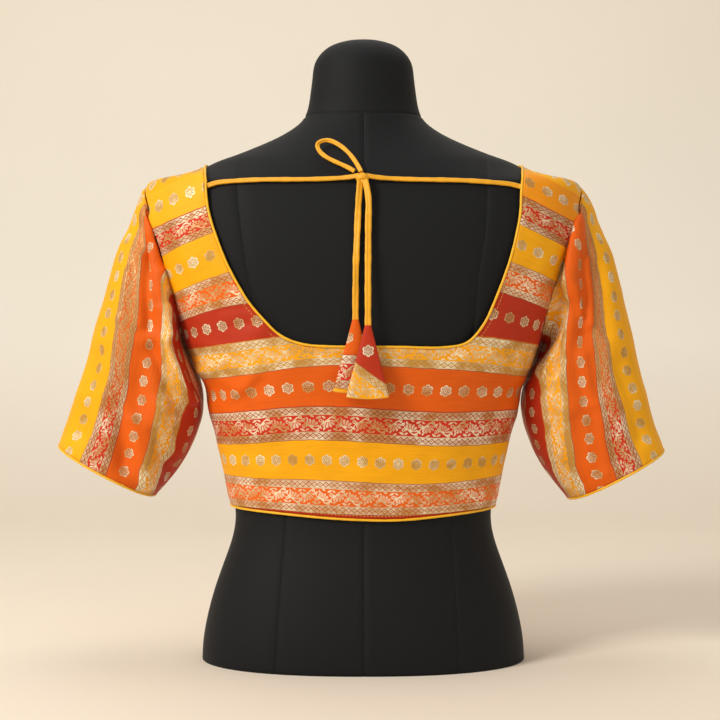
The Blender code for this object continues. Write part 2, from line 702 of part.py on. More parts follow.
def build_sleeves():
    """The two sleeves and their cuff piping."""
    for side in ("left", "right"):
        rings = sleeve_rings(side)
        add_cloth(f"sleeve_{side}", rings, closed=True, flip=side == "right")
        away = rings[-1] - rings[-2]
        away /= np.linalg.norm(away, axis=1, keepdims=True)
        middle = rings[-1].mean(axis=0)
        inward = middle - rings[-1]
        inward /= np.linalg.norm(inward, axis=1, keepdims=True)
        line = rings[-1] + away * (PIPING_RADIUS + SEAM_GAP) + inward * CLOTH_WALL / 2
        add_tube(f"cuff_piping_{side}", line, PIPING_RADIUS, 1, cyclic=True)


def on_back(point):
    """Point of a route that lies over the form's back."""
    angle = angle_where(lambda turn: form_point(turn, point.z)[..., 0], point.x, -89.0, 89.0)
    return form_point(angle, point.z) + form_normal(angle, point.z) * point.lift


def build_tie():
    """The tie: two stretches across the back, a loop, two tails and the knot."""
    routes = {
        "dori_left": (DORI_LEFT_ROUTE, STRETCH_POINTS),
        "dori_right": (DORI_RIGHT_ROUTE, STRETCH_POINTS),
        "dori_loop": (DORI_LOOP_ROUTE, LOOP_POINTS),
    }
    for name, (route, count) in routes.items():
        line = np.array([on_back(point) for point in route])
        add_tube(name, smooth_line(line, count), DORI_RADIUS, 2)
    for name, route in (("dori_tail_left", TAIL_LEFT_ROUTE), ("dori_tail_right", TAIL_RIGHT_ROUTE)):
        add_tube(name, smooth_line(route, TAIL_POINTS), TAIL_RADIUS, 2)
    shape = bmesh.new()
    around, up = KNOT_SEGMENTS
    bmesh.ops.create_uvsphere(shape, u_segments=around, v_segments=up, radius=1.0)
    radii = np.array(KNOT_RADII) * MM
    for vertex in shape.verts:
        vertex.co = [value * radius for value, radius in zip(vertex.co, radii)]
    mesh = bpy.data.meshes.new("dori_knot")
    shape.to_mesh(mesh)
    shape.free()
    mesh.shade_smooth()
    knot = add_object("dori_knot", mesh)
    knot.location = [value * MM for value in KNOT_PLACE]


def build_latkans():
    """The folded cloth drops at the ends of the tails."""
    turns = np.radians(np.linspace(0, 360, LATKAN_RING_POINTS, endpoint=False))
    for side, latkan in LATKANS.items():
        rings = []
        for row in reversed(LATKAN_ROWS):
            ring = np.zeros((LATKAN_RING_POINTS, 3))
            ring[:, 0] = latkan.x + latkan.lean_x * row.down + row.half_width * np.cos(turns)
            ring[:, 1] = latkan.y + latkan.lean_y * row.down + row.half_thickness * np.sin(turns)
            ring[:, 2] = latkan.z - latkan.height * row.down
            rings.append(ring)
        add_loft(f"latkan_{side}", np.array(rings))


def main():
    """Clear the scene and build the blouse on its form."""
    for thing in list(bpy.data.objects):
        bpy.data.objects.remove(thing, do_unlink=True)
    collection = bpy.data.collections.new(COLLECTION_NAME)
    bpy.context.scene.collection.children.link(collection)
    build_form()
    build_panels()
    build_panel_piping()
    build_sleeves()
    build_tie()
    build_latkans()


main()
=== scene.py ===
"""Looks of a choli blouse on a dress form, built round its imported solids.

Objects are in metres in the model's own frame: the blouse's back faces -Y, the wearer's right
is +X and the form stands on z = 0. The tables are in millimetres and degrees. An angle of 0 is
the centre back, 90 the wearer's right side and 180 the centre front.
"""

import logging
import math
from collections.abc import Callable, Sequence
from dataclasses import dataclass, field
from enum import Enum
from typing import NamedTuple

import bpy
import numpy as np
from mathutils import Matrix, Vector


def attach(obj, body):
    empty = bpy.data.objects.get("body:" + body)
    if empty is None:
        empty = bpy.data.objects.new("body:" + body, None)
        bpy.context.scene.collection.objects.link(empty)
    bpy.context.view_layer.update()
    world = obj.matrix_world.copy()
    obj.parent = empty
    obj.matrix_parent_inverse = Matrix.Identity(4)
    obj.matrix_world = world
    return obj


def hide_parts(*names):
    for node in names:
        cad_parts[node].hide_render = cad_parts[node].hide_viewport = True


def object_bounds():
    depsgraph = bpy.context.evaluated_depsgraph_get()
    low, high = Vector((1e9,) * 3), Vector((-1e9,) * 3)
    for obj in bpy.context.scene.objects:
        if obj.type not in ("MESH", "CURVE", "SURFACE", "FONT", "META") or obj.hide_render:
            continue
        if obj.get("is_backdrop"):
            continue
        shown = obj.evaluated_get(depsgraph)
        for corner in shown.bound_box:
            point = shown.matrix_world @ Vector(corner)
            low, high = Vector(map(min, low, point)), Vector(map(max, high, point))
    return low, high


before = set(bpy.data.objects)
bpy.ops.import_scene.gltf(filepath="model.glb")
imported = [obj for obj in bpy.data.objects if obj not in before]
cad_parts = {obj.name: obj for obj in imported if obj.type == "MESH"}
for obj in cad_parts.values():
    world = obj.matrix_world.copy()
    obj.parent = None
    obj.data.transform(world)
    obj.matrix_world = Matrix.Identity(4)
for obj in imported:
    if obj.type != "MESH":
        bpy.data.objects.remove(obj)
CAD_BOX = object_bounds()

LOG = logging.getLogger("choli_blouse")
MM = 0.001
Array = np.ndarray
Piece = bpy.types.Object
Material = bpy.types.Material


class Side(Enum):
    """The wearer's side that a piece belongs to, with the sign of its X."""

    LEFT = -1
    RIGHT = 1

    @property
    def word(self) -> str:
        """Side's name as it stands in the names of pieces."""
        return self.name.lower()


def table(kind: Callable, rows: Sequence[tuple], *shared: object) -> tuple:
    """Rows of numbers as named tuples of a kind, each begun with the values that all share."""
    return tuple(kind(*shared, *row) for row in rows)


# The form and the cloth on it, as in the part's source

class Section(NamedTuple):
    """Level section of the form."""

    z: float
    half_width: float
    back: float
    front: float
    square: float


FORM_SECTIONS = table(Section, [
    (0, 160.0, 103.5, 102.0, 2.30), (14, 159.3, 103.0, 101.5, 2.30), (40, 155.2, 99.8, 98.5, 2.30),
    (70, 147.2, 93.2, 94.5, 2.30), (100, 136.6, 84.0, 89.0, 2.28), (118, 130.6, 78.2, 86.0, 2.26),
    (137, 127.3, 74.8, 84.2, 2.25), (158, 128.9, 74.3, 84.6, 2.26), (185, 134.4, 77.0, 87.0, 2.30),
    (220, 142.0, 82.5, 91.0, 2.34), (250, 148.8, 87.5, 95.5, 2.40),
    (282, 156.8, 92.5, 101.5, 2.50), (315, 167.0, 96.5, 107.0, 2.62),
    (345, 178.0, 98.7, 107.5, 2.75), (375, 190.0, 98.8, 99.5, 2.88),
    (402, 200.0, 97.0, 88.5, 2.95), (425, 206.4, 93.6, 78.0, 2.95), (445, 211.0, 89.0, 68.5, 2.92),
    (457, 212.0, 85.6, 62.5, 2.85), (465, 210.4, 82.8, 57.5, 2.78),
    (468.6, 203.2, 81.2, 55.2, 2.72), (471.8, 190.0, 79.8, 53.2, 2.68),
    (476.6, 175.2, 77.4, 51.0, 2.60), (483, 161.4, 73.8, 48.4, 2.52),
    (489, 150.4, 70.3, 46.5, 2.44), (496, 132.4, 66.2, 45.0, 2.34), (505, 109.8, 61.6, 43.8, 2.22),
    (515, 87.4, 57.4, 43.6, 2.12), (525, 70.4, 54.3, 44.6, 2.05), (535, 59.8, 52.0, 46.4, 2.00),
    (546, 55.2, 50.4, 48.2, 2.00), (560, 52.8, 49.0, 49.6, 2.00), (578, 50.6, 46.9, 50.2, 2.00),
    (590, 48.6, 44.4, 48.8, 2.00), (600, 42.6, 38.4, 43.0, 2.00), (607, 34.0, 30.2, 34.6, 2.00),
    (612, 20.5, 17.6, 21.2, 2.00),
])
FORM_TOP = (0.0, 2.0, 614.0)


class Ease(NamedTuple):
    """How far the cloth stands off the form at a height, beyond its clearance."""

    z: float
    side: float
    back: float
    front: float


EASES = table(Ease, [
    (100, 0.2, 0.3, 0.3), (146, 0.6, 0.8, 0.6), (162, 3.0, 3.4, 2.2), (195, 2.0, 1.6, 2.2),
    (220, 2.4, 1.8, 2.4), (240, 3.8, 2.0, 2.6), (256, 3.0, 2.0, 2.6), (271, 1.4, 2.2, 2.4),
    (280, 2.6, 2.2, 2.2), (291, 6.8, 2.0, 2.0), (314, 8.4, 1.6, 2.6), (345, 6.4, 1.6, 2.6),
    (400, 3.6, 1.4, 1.4), (440, 1.6, 1.9, 1.3), (465, 2.4, 5.0, 1.9), (487, 0.1, 0.2, 0.1),
])


class NeckPoint(NamedTuple):
    """Point of a neckline's cut edge."""

    half_width: float
    z: float


BACK_NECKS = {
    Side.LEFT: table(NeckPoint, [
        (0, 306.2), (34, 306.8), (58, 309.2), (76, 316.0), (90, 328.0), (104, 343.0), (117, 362.0),
        (129, 384.0), (139, 408.0), (147.5, 434.0), (150.9, 460.0), (151.8, 466.0), (153.2, 472.0),
        (155.0, 479.0), (156.2, 483.0), (157.2, 485.2),
    ]),
    Side.RIGHT: table(NeckPoint, [
        (0, 306.2), (45, 306.0), (78, 306.3), (94, 309.2), (104, 316.2), (113, 327.0),
        (122, 344.0), (131, 366.0), (139, 388.0), (145.5, 412.0), (150.2, 438.0), (151.0, 452.0),
        (152.2, 462.0), (152.9, 466.0), (154.0, 472.0), (156.0, 479.0), (157.0, 483.0),
        (158.0, 485.2),
    ]),
}
FRONT_NECK = table(NeckPoint, [
    (0, 368.0), (34, 370.5), (66, 379.0), (94, 394.0), (117, 414.0), (135, 438.0), (148, 462.0),
    (154, 476.0), (157, 483.6),
])
NECK_CORNER_STARTS = {Side.LEFT: 0.24, Side.RIGHT: 0.29}
NECK_UNDERARM_STARTS = {Side.LEFT: 0.40, Side.RIGHT: 0.42}
SHOULDER_NECK = (88.0, 486.2)
FRONT_RIDGE_Z = 486.2
SHOULDER_TURN = -15.0


class HemPoint(NamedTuple):
    """Height of the hem's cut edge at an angle."""

    angle: float
    z: float


HEM_POINTS = table(HemPoint, [
    (-180, 149.0), (-130, 150.5), (-90, 153.0), (-55, 150.0), (-25, 146.0), (0, 144.3),
    (25, 144.0), (55, 148.0), (90, 152.6), (130, 150.5), (180, 149.0),
])


class SleeveRow(NamedTuple):
    """Outer and inner line of a sleeve seen from behind, and its depths."""

    along: float
    outer_x: float
    outer_z: float
    inner_x: float
    inner_z: float
    back: float
    front: float


SLEEVE_ROWS = {
    Side.LEFT: table(SleeveRow, [
        (0.00, 213.0, 468.6, 176.5, 317.6, 50.0, 45.0),
        (0.05, 218.6, 463.4, 177.6, 311.0, 55.0, 50.0),
        (0.12, 226.0, 447.0, 171.6, 295.0, 60.0, 55.0),
        (0.24, 236.0, 418.0, 162.8, 273.0, 64.0, 59.0),
        (0.40, 249.0, 376.0, 160.4, 254.0, 64.5, 60.0),
        (0.56, 261.4, 334.0, 163.0, 234.0, 62.0, 59.0),
        (0.72, 276.6, 285.0, 173.6, 206.0, 60.0, 58.0),
        (0.86, 291.4, 243.0, 189.6, 180.0, 58.5, 57.0),
        (1.00, 302.6, 212.4, 206.6, 161.0, 57.0, 56.0),
    ]),
    Side.RIGHT: table(SleeveRow, [
        (0.00, 213.5, 468.6, 176.5, 317.6, 50.0, 45.0),
        (0.05, 220.0, 463.4, 177.6, 311.0, 55.0, 50.0),
        (0.12, 229.6, 447.0, 171.6, 295.0, 60.0, 55.0),
        (0.24, 239.6, 418.0, 161.2, 270.0, 63.0, 58.0),
        (0.40, 250.0, 376.0, 158.6, 248.0, 63.5, 60.0),
        (0.56, 260.6, 334.0, 162.6, 226.0, 61.5, 59.0),
        (0.72, 272.6, 285.0, 172.6, 201.0, 60.0, 58.0),
        (0.86, 286.0, 243.0, 187.6, 178.0, 58.5, 57.0),
        (1.00, 298.6, 208.0, 203.6, 158.0, 57.0, 56.0),
    ]),
}


class Facing(Enum):
    """Which way a fold of the cloth looks, as the sign of its Y."""

    BACK = -1
    FRONT = 1


class Fold(NamedTuple):
    """Soft ridge, or trough where its height is below 0, along a line."""

    facing: Facing
    x1: float
    z1: float
    x2: float
    z2: float
    width: float
    height: float


FOLDS = table(Fold, [
    (-206, 430, -196, 352, 9, 5.0), (-218, 424, -208, 330, 11, -7.5),
    (-240, 400, -262, 262, 20, 4.0), (-210, 300, -228, 200, 12, -5.0),
    (-196, 250, -212, 178, 10, 4.5), (208, 432, 200, 360, 9, 4.5), (222, 430, 214, 322, 11, -6.5),
    (246, 396, 262, 262, 20, 4.0), (206, 306, 236, 196, 13, -5.0), (196, 246, 214, 178, 10, 4.0),
    (-150, 286, -96, 322, 9, 2.4), (146, 284, 104, 318, 9, 2.2), (-132, 214, -60, 236, 9, 1.6),
    (128, 206, 62, 226, 9, 1.6),
], Facing.BACK) + table(Fold, [
    (-214, 424, -206, 338, 12, -6.0), (-222, 300, -240, 205, 14, -4.5),
    (214, 424, 206, 338, 12, -6.0), (222, 300, 240, 205, 14, -4.5),
], Facing.FRONT)

# Narrow creases that only the looks have
CREASES = table(Fold, [
    (-208, 408, -194, 352, 6, -7.8), (-216, 396, -214, 330, 5, 5.5),
    (-197, 380, -186, 320, 5, 5.9), (-190, 312, -168, 256, 5, 5.9),
    (-202, 306, -178, 248, 7, -5.9), (-202, 224, -187, 177, 7, -5.1),
    (-222, 236, -212, 178, 7, 4.0), (-236, 250, -231, 190, 7, -3.6),
    (-258, 300, -274, 226, 9, -4.0), (-232, 330, -244, 262, 7, 3.6),
    (-226, 380, -232, 336, 5, 3.1), (208, 430, 195, 355, 5, 5.5), (192, 356, 180, 286, 7, -6.8),
    (218, 392, 220, 330, 4, 4.5), (202, 374, 210, 340, 4, 4.0), (211, 298, 220, 254, 6, 4.0),
    (228, 388, 234, 320, 6, -3.6), (246, 290, 268, 222, 8, -4.0), (226, 250, 236, 186, 7, 4.0),
    (204, 236, 214, 176, 7, -4.0), (-120, 248, -95, 272, 5, -2.8), (-128, 257, -103, 280, 5, 2.2),
    (-136, 342, -100, 346, 3, -2.0), (-138, 325, -108, 329, 3, -1.7),
    (184, 330, 176, 296, 6, -4.0), (-166, 312, -128, 306, 4, 1.8), (-158, 284, -112, 266, 5, 1.8),
    (-150, 262, -104, 248, 6, -1.4), (-128, 196, -84, 188, 7, 1.4), (166, 312, 134, 310, 4, 1.8),
    (158, 276, 116, 262, 5, 1.7), (146, 232, 96, 238, 7, -1.4), (126, 190, 70, 200, 7, 1.4),
    (-178, 412, -160, 372, 7, 1.4), (186, 404, 164, 372, 7, 2.1),
], Facing.BACK) + table(Fold, [
    (-150, 290, -96, 316, 8, 1.4), (150, 286, 96, 316, 8, 1.4), (-140, 214, -70, 246, 9, 1.2),
    (140, 220, 74, 240, 9, 1.2), (-236, 392, -232, 320, 6, 1.4), (236, 396, 230, 326, 6, 1.4),
    (-228, 290, -250, 208, 7, 1.3), (226, 284, 246, 204, 7, 1.3),
], Facing.FRONT)


def natural_spline(knots: Array, values: Array, at: Array) -> Array:
    """Cubic curve with even curvature through rows of values.

    Args:
        knots: Rising places of the rows.
        values: One row of numbers for each knot.
        at: Places to read the curve at.

    Returns:
        One row of numbers for each place.
    """
    knots = np.asarray(knots, float)
    values = np.asarray(values, float)
    spans = np.diff(knots)
    count = len(knots)
    system = np.eye(count)
    right = np.zeros_like(values)
    for row in range(1, count - 1):
        before, after = spans[row - 1], spans[row]
        system[row, row - 1:row + 2] = before, 2 * (before + after), after
        rise_after = (values[row + 1] - values[row]) / after
        rise_before = (values[row] - values[row - 1]) / before
        right[row] = 6 * (rise_after - rise_before)
    bend = np.linalg.solve(system, right)
    span = np.clip(np.searchsorted(knots, at, side="right") - 1, 0, count - 2)
    step = spans[span][:, None]
    far = ((at - knots[span]) / spans[span])[:, None]
    near = 1 - far
    curved = (near**3 - near) * bend[span] + (far**3 - far) * bend[span + 1]
    return near * values[span] + far * values[span + 1] + curved * step**2 / 6


def lengths_along(points: Array) -> Array:
    """Distance along a line of points at each of them."""
    steps = np.linalg.norm(np.diff(points, axis=0), axis=1)
    return np.concatenate([[0.0], np.cumsum(steps)])


def read_along(line: Array, places: Array, at: Array) -> Array:
    """Straight steps between rows of numbers.

    Args:
        line: One row of numbers for each place.
        places: Rising places of the rows.
        at: Places to read at.

    Returns:
        One row of numbers for each place read.
    """
    return np.stack([np.interp(at, places, column) for column in line.T], axis=1)


def evenly(line: Array, count: int) -> Array:
    """The same line as count points evenly spaced along its length."""
    travelled = lengths_along(line)
    return read_along(line, travelled, np.linspace(0, 1, count) * travelled[-1])


def smooth_line(points: Sequence, count: int) -> Array:
    """The smooth line through points.

    Args:
        points: Points that it passes through.
        count: How many points to make of it.

    Returns:
        Points evenly spaced along it.
    """
    knots = np.asarray(points, float)
    travelled = lengths_along(knots)
    at = np.linspace(0, travelled[-1], 12 * count)
    return evenly(natural_spline(travelled, knots, at), count)


def unit(ways: Array) -> Array:
    """The same directions with a length of 1."""
    return ways / np.linalg.norm(ways, axis=-1, keepdims=True)


def turns_round(count: int) -> Array:
    """Even turns round a ring in radians."""
    return np.linspace(0, 2 * math.pi, count, endpoint=False)


def round_outline(turns: Array) -> Array:
    """Outline of radius 1 as (across, outward), with a point at each turn."""
    return np.stack([np.cos(turns), np.sin(turns)], axis=1)


# Enough halvings of 180 degrees for the angle to be exact
HALVINGS = 34


def angle_where(grows: Callable[[Array], Array], wanted: Array, low: Array, high: Array) -> Array:
    """Angle where a value that grows with the angle is as wanted.

    Args:
        grows: Value at an angle.
        wanted: The value to reach.
        low: Least angle.
        high: Greatest angle.

    Returns:
        The angle, to far below a hundredth of a degree.
    """
    for _ in range(HALVINGS):
        middle = (low + high) / 2
        short = grows(middle) < wanted
        low, high = np.where(short, middle, low), np.where(short, high, middle)
    return (low + high) / 2


def grid_normals(points: Array, sign: float) -> Array:
    """Directions square to a grid of points.

    Args:
        points: Rows and columns of points.
        sign: 1 or -1, for the side that the directions lie on.

    Returns:
        A unit direction for each point.
    """
    across = sign * np.cross(np.gradient(points, axis=0), np.gradient(points, axis=1))
    return across / (np.linalg.norm(across, axis=-1, keepdims=True) + 1e-12)


@dataclass
class GarmentShape:
    """Surface of the form and of the blouse on it, in millimetres.

    Attributes:
        wall: Thickness of the cloth.
        clearance: Least gap between the form and the cloth.
        bust_angle: Angle of each bust point.
        bust_z: Height of the bust points.
        bust_reach: How far the bust stands out.
        bust_angle_spread: Half width of the bust in degrees.
        bust_z_spread: Half height of the bust.
        armhole_bottom: Lowest height of an armhole.
        armhole_top: Highest height of an armhole.
        armhole_back: Depth of an armhole behind the shoulder line.
        armhole_front: Depth of an armhole before the shoulder line.
        armhole_square: Squareness of the armhole's egg shape.
        snug: Heights between which the clearance narrows at the shoulder.
        snug_share: Share of the clearance that is left above them.
        side_sharpness: Power that keeps the sides' ease to the sides.
        fold_fade: Distance from the side line over which a fold comes in.
        girth_steps: Points used to measure round the cloth.
        small_step: Degrees and millimetres between which a direction is measured.
        slow_ripple: Height of the cloth's wider unevenness.
        quick_ripple: Height of its finer unevenness.
        profile: The form's sections, read densely.
    """

    wall: float = 1.3
    clearance: float = 1.0
    bust_angle: float = 141.0
    bust_z: float = 322.0
    bust_reach: float = 15.0
    bust_angle_spread: float = 21.0
    bust_z_spread: float = 40.0
    armhole_bottom: float = 316.0
    armhole_top: float = 466.2
    armhole_back: float = 50.0
    armhole_front: float = 45.0
    armhole_square: float = 2.25
    snug: tuple[float, float] = (455.0, 478.0)
    snug_share: float = 0.3
    side_sharpness: int = 6
    fold_fade: float = 20.0
    girth_steps: int = 25
    small_step: tuple[float, float] = (0.2, 0.4)
    slow_ripple: float = 0.6
    quick_ripple: float = 0.2
    profile: Array = field(init=False)

    def __post_init__(self) -> None:
        """Read the form's sections densely along its smooth side line."""
        rows = np.array(FORM_SECTIONS, float)
        travelled = lengths_along(rows[:, :2])
        self.profile = natural_spline(travelled, rows, np.linspace(0, travelled[-1], 900))

    def form_point(self, angle: Array, z: Array) -> Array:
        """Point of the form's skin.

        Args:
            angle: Angle round the form.
            z: Height.

        Returns:
            The point, for each angle and height.
        """
        turn = np.radians(angle)
        sideways, forwards = np.sin(turn), -np.cos(turn)
        half_width, back, front, square = (
            np.interp(z, self.profile[:, 0], self.profile[:, column]) for column in range(1, 5)
        )
        depth = np.where(forwards < 0, back, front)
        spread = np.abs(sideways / half_width)**square + np.abs(forwards / depth)**square
        radius = spread**(-1 / square)
        from_apex = (np.abs(angle) - self.bust_angle) / self.bust_angle_spread
        height = (z - self.bust_z) / self.bust_z_spread
        radius = radius + self.bust_reach * np.exp(-from_apex**2 - height**2)
        return np.stack([radius * sideways, radius * forwards, z + 0 * radius], axis=-1)

    def form_normal(self, angle: Array, z: Array) -> Array:
        """Outward direction of the form's skin.

        Args:
            angle: Angle round the form.
            z: Height.

        Returns:
            A unit direction, for each angle and height.
        """
        turn, rise = self.small_step
        around = self.form_point(angle + turn, z) - self.form_point(angle - turn, z)
        upward = self.form_point(angle, z + rise) - self.form_point(angle, z - rise)
        return unit(np.cross(around, upward))

    def fold_height(self, points: Array, folds: Sequence[Fold]) -> Array:
        """How far folds lift the cloth at these points.

        Args:
            points: Places on the cloth.
            folds: The ridges and troughs.

        Returns:
            A height for each point.
        """
        total = np.zeros(points.shape[:-1])
        for fold in folds:
            start = np.array([fold.x1, fold.z1])
            run = np.array([fold.x2, fold.z2]) - start
            offset = points[..., [0, 2]] - start
            place = np.clip((offset @ run) / (run @ run), 0, 1)
            away = np.linalg.norm(offset - place[..., None] * run, axis=-1)
            facing = np.clip(points[..., 1] * fold.facing.value / self.fold_fade, 0, 1)
            total += facing * fold.height * np.exp(-(away / fold.width)**2)
        return total

    def ease_at(self, angle: Array, z: Array) -> Array:
        """How far the cloth hangs off the form, beyond its clearance.

        Args:
            angle: Angle round the form.
            z: Height.

        Returns:
            The distance, for each angle and height.
        """
        rows = np.array(EASES)
        side, back, front = (np.interp(z, rows[:, 0], rows[:, column]) for column in (1, 2, 3))
        sideness = np.abs(np.sin(np.radians(angle)))**self.side_sharpness
        rest = np.where(np.abs(angle) < 90, back, front)
        return sideness * side + (1 - sideness) * rest

    def cloth_point(self, angle: Array, z: Array) -> Array:
        """Point of the blouse's outer face.

        Args:
            angle: Angle round the form.
            z: Height.

        Returns:
            The point, for each angle and height.
        """
        angle = np.asarray(angle, float)
        z = np.asarray(z, float)
        skin = self.form_point(angle, z)
        slack = np.maximum(self.ease_at(angle, z) + self.fold_height(skin, FOLDS), 0)
        close = self.clearance * np.interp(z, self.snug, [1.0, self.snug_share])
        stand_off = self.wall + close + slack
        return skin + self.form_normal(angle, z) * stand_off[..., None]

    def angle_for_depth(self, y: Array, z: Array) -> Array:
        """Angle on the wearer's right where the cloth reaches a place from back to front."""
        none = 0 * z
        return angle_where(lambda turn: self.cloth_point(turn, z)[..., 1], y, none, none + 180.0)

    def angle_for_half_width(self, half_width: float, z: float, front: bool) -> float:
        """Angle where the cloth is as wide as wanted.

        Args:
            half_width: Distance from the centre.
            z: Height.
            front: True for the front half of the wearer's right side.

        Returns:
            The angle.
        """
        def width(angle: Array) -> Array:
            """Distance from the centre at an angle from the centre back or front."""
            return self.cloth_point(180 - angle if front else angle, z)[..., 0]
        found = angle_where(width, half_width, 0.0, 90.0)
        return 180 - found if front else found

    def hem_height(self, angle: Array) -> Array:
        """Height of the cloth's cut edge at the hem."""
        rows = np.array(HEM_POINTS)
        angles = np.atleast_1d(np.asarray(angle, float))
        return natural_spline(rows[:, 0], rows[:, 1:], angles)[:, 0]

    def armhole_place(self, turn: float, side: Side) -> tuple[float, float]:
        """Place on an armhole.

        Args:
            turn: Degrees round it, where 0 is its top and -90 its back.
            side: The wearer's side.

        Returns:
            Angle and height.
        """
        around = math.radians(turn)
        depth = self.armhole_back if turn < 0 else self.armhole_front
        upward, outward, square = math.cos(around), math.sin(around), self.armhole_square
        scale = (abs(upward)**square + abs(outward)**square)**(-1 / square)
        middle = (self.armhole_top + self.armhole_bottom) / 2
        z = middle + (self.armhole_top - middle) * upward * scale
        angle = self.angle_for_depth(np.array(depth * outward * scale), np.array(z))
        return side.value * float(angle), z

    def girth_to(self, angle: Array, z: Array) -> Array:
        """Length round the form from angle 0.

        Args:
            angle: Angle to measure to.
            z: Height.

        Returns:
            The length, below 0 on the wearer's left.
        """
        steps = np.linspace(0, 1, self.girth_steps)
        angles = np.asarray(angle)[..., None] * steps
        heights = np.asarray(z)[..., None] + 0 * steps
        points = self.form_point(angles, heights)
        runs = np.linalg.norm(np.diff(points, axis=-2), axis=-1).sum(axis=-1)
        return np.sign(angle) * runs

    def ripple(self, points: Array) -> Array:
        """Faint unevenness of worn cloth, the same each time.

        Args:
            points: Places on the cloth.

        Returns:
            A height for each point.
        """
        x, y, z = points[..., 0], points[..., 1], points[..., 2]
        # Wavelengths in millimetres with no common step, so that no pattern shows
        slow = np.sin(x / 17.0 + 1.3 * np.sin(z / 23.0)) * np.cos(z / 19.0 + y / 31.0)
        quick = np.sin(x / 7.3 + y / 9.1 + 2.0 * np.sin(z / 12.7)) * np.sin(z / 8.3 - x / 21.0)
        return self.slow_ripple * slow + self.quick_ripple * quick


SHAPE = GarmentShape()


# Shader nodes

def linear(colour: str) -> tuple[float, float, float, float]:
    """Linear colour with full alpha from an sRGB hex value such as "#ff8800"."""
    parts = [int(colour[start:start + 2], 16) / 255 for start in (1, 3, 5)]
    straight = [part / 12.92 if part <= 0.04045 else ((part + 0.055) / 1.055)**2.4
                for part in parts]
    return (*straight, 1.0)


def fill_inputs(node: bpy.types.Node, inputs: dict) -> None:
    """Set a node's inputs, or link them where the value is a socket or a field.

    Args:
        node: The node.
        inputs: Values, sockets or fields by the input's name or number.
    """
    for key, value in inputs.items():
        if isinstance(value, Field):
            value = value.socket
        if isinstance(value, bpy.types.NodeSocket):
            node.id_data.links.new(value, node.inputs[key])
        else:
            node.inputs[key].default_value = value


def add_node(tree: bpy.types.NodeTree, kind: str, settings: dict, inputs: dict) -> bpy.types.Node:
    """Add a shader node.

    Args:
        tree: Tree that the node goes into.
        kind: Blender's type name of the node.
        settings: Properties of the node by name.
        inputs: Values, sockets or fields by the input's name or number.

    Returns:
        The node.
    """
    node = tree.nodes.new(kind)
    for name, value in settings.items():
        setattr(node, name, value)
    fill_inputs(node, inputs)
    return node


def new_material(name: str) -> tuple[Material, bpy.types.NodeTree, bpy.types.Node]:
    """A new material by this name, with its tree of nodes and its main shader."""
    material = bpy.data.materials.new(name)
    material.use_nodes = True
    return material, material.node_tree, material.node_tree.nodes["Principled BSDF"]


FLAT_NOISE = {"noise_dimensions": "2D"}
MIX_COLOURS = {"data_type": "RGBA"}
TINT = {"data_type": "RGBA", "blend_type": "MULTIPLY"}


@dataclass(frozen=True)
class Field:
    """A number that varies over a surface, as a socket that can be reckoned with."""

    socket: bpy.types.NodeSocket

    def reckon(self, operation: str, *others: "Field | float", clamp: bool = False) -> "Field":
        """Result of one of the Math node's operations on this and other values."""
        inputs = dict(enumerate((self, *others)))
        settings = {"operation": operation, "use_clamp": clamp}
        return Field(add_node(self.socket.id_data, "ShaderNodeMath", settings, inputs).outputs[0])

    def clamped(self) -> "Field":
        """Value kept between 0 and 1."""
        return self.reckon("MULTIPLY", 1.0, clamp=True)

    def __add__(self, other: "Field | float") -> "Field":
        """Sum."""
        return self.reckon("ADD", other)

    def __sub__(self, other: "Field | float") -> "Field":
        """Difference."""
        return self.reckon("SUBTRACT", other)

    def __mul__(self, other: "Field | float") -> "Field":
        """Product."""
        return self.reckon("MULTIPLY", other)

    def __truediv__(self, other: "Field | float") -> "Field":
        """Quotient."""
        return self.reckon("DIVIDE", other)

    def __mod__(self, other: "Field | float") -> "Field":
        """Remainder that is never below 0."""
        return self.reckon("FLOORED_MODULO", other)

    def __gt__(self, other: "Field | float") -> "Field":
        """1 where this is the greater, else 0."""
        return self.reckon("GREATER_THAN", other)

    def size(self) -> "Field":
        """Value without its sign."""
        return self.reckon("ABSOLUTE")

    def flipped(self) -> "Field":
        """1 less this value, for a mask turned inside out."""
        return (self * -1.0) + 1.0

    def under(self, limit: "Field | float", blur: float) -> "Field":
        """Mask of where this is below a limit, with an edge softened over blur."""
        return (((self - limit) / -blur) + 0.5).clamped()

    def most(self, *others: "Field") -> "Field":
        """Greatest of this and the others."""
        result = self
        for other in others:
            result = result.reckon("MAXIMUM", other)
        return result


def distance(across: Field, up: Field) -> Field:
    """Distance from the origin of two coordinates."""
    return ((across * across) + (up * up)).reckon("SQRT")


class Leaf(NamedTuple):
    """Pointed leaf of the vine: its middle, the way it points, and its half sizes."""

    along: float
    up: float
    turn: float
    length: float
    width: float


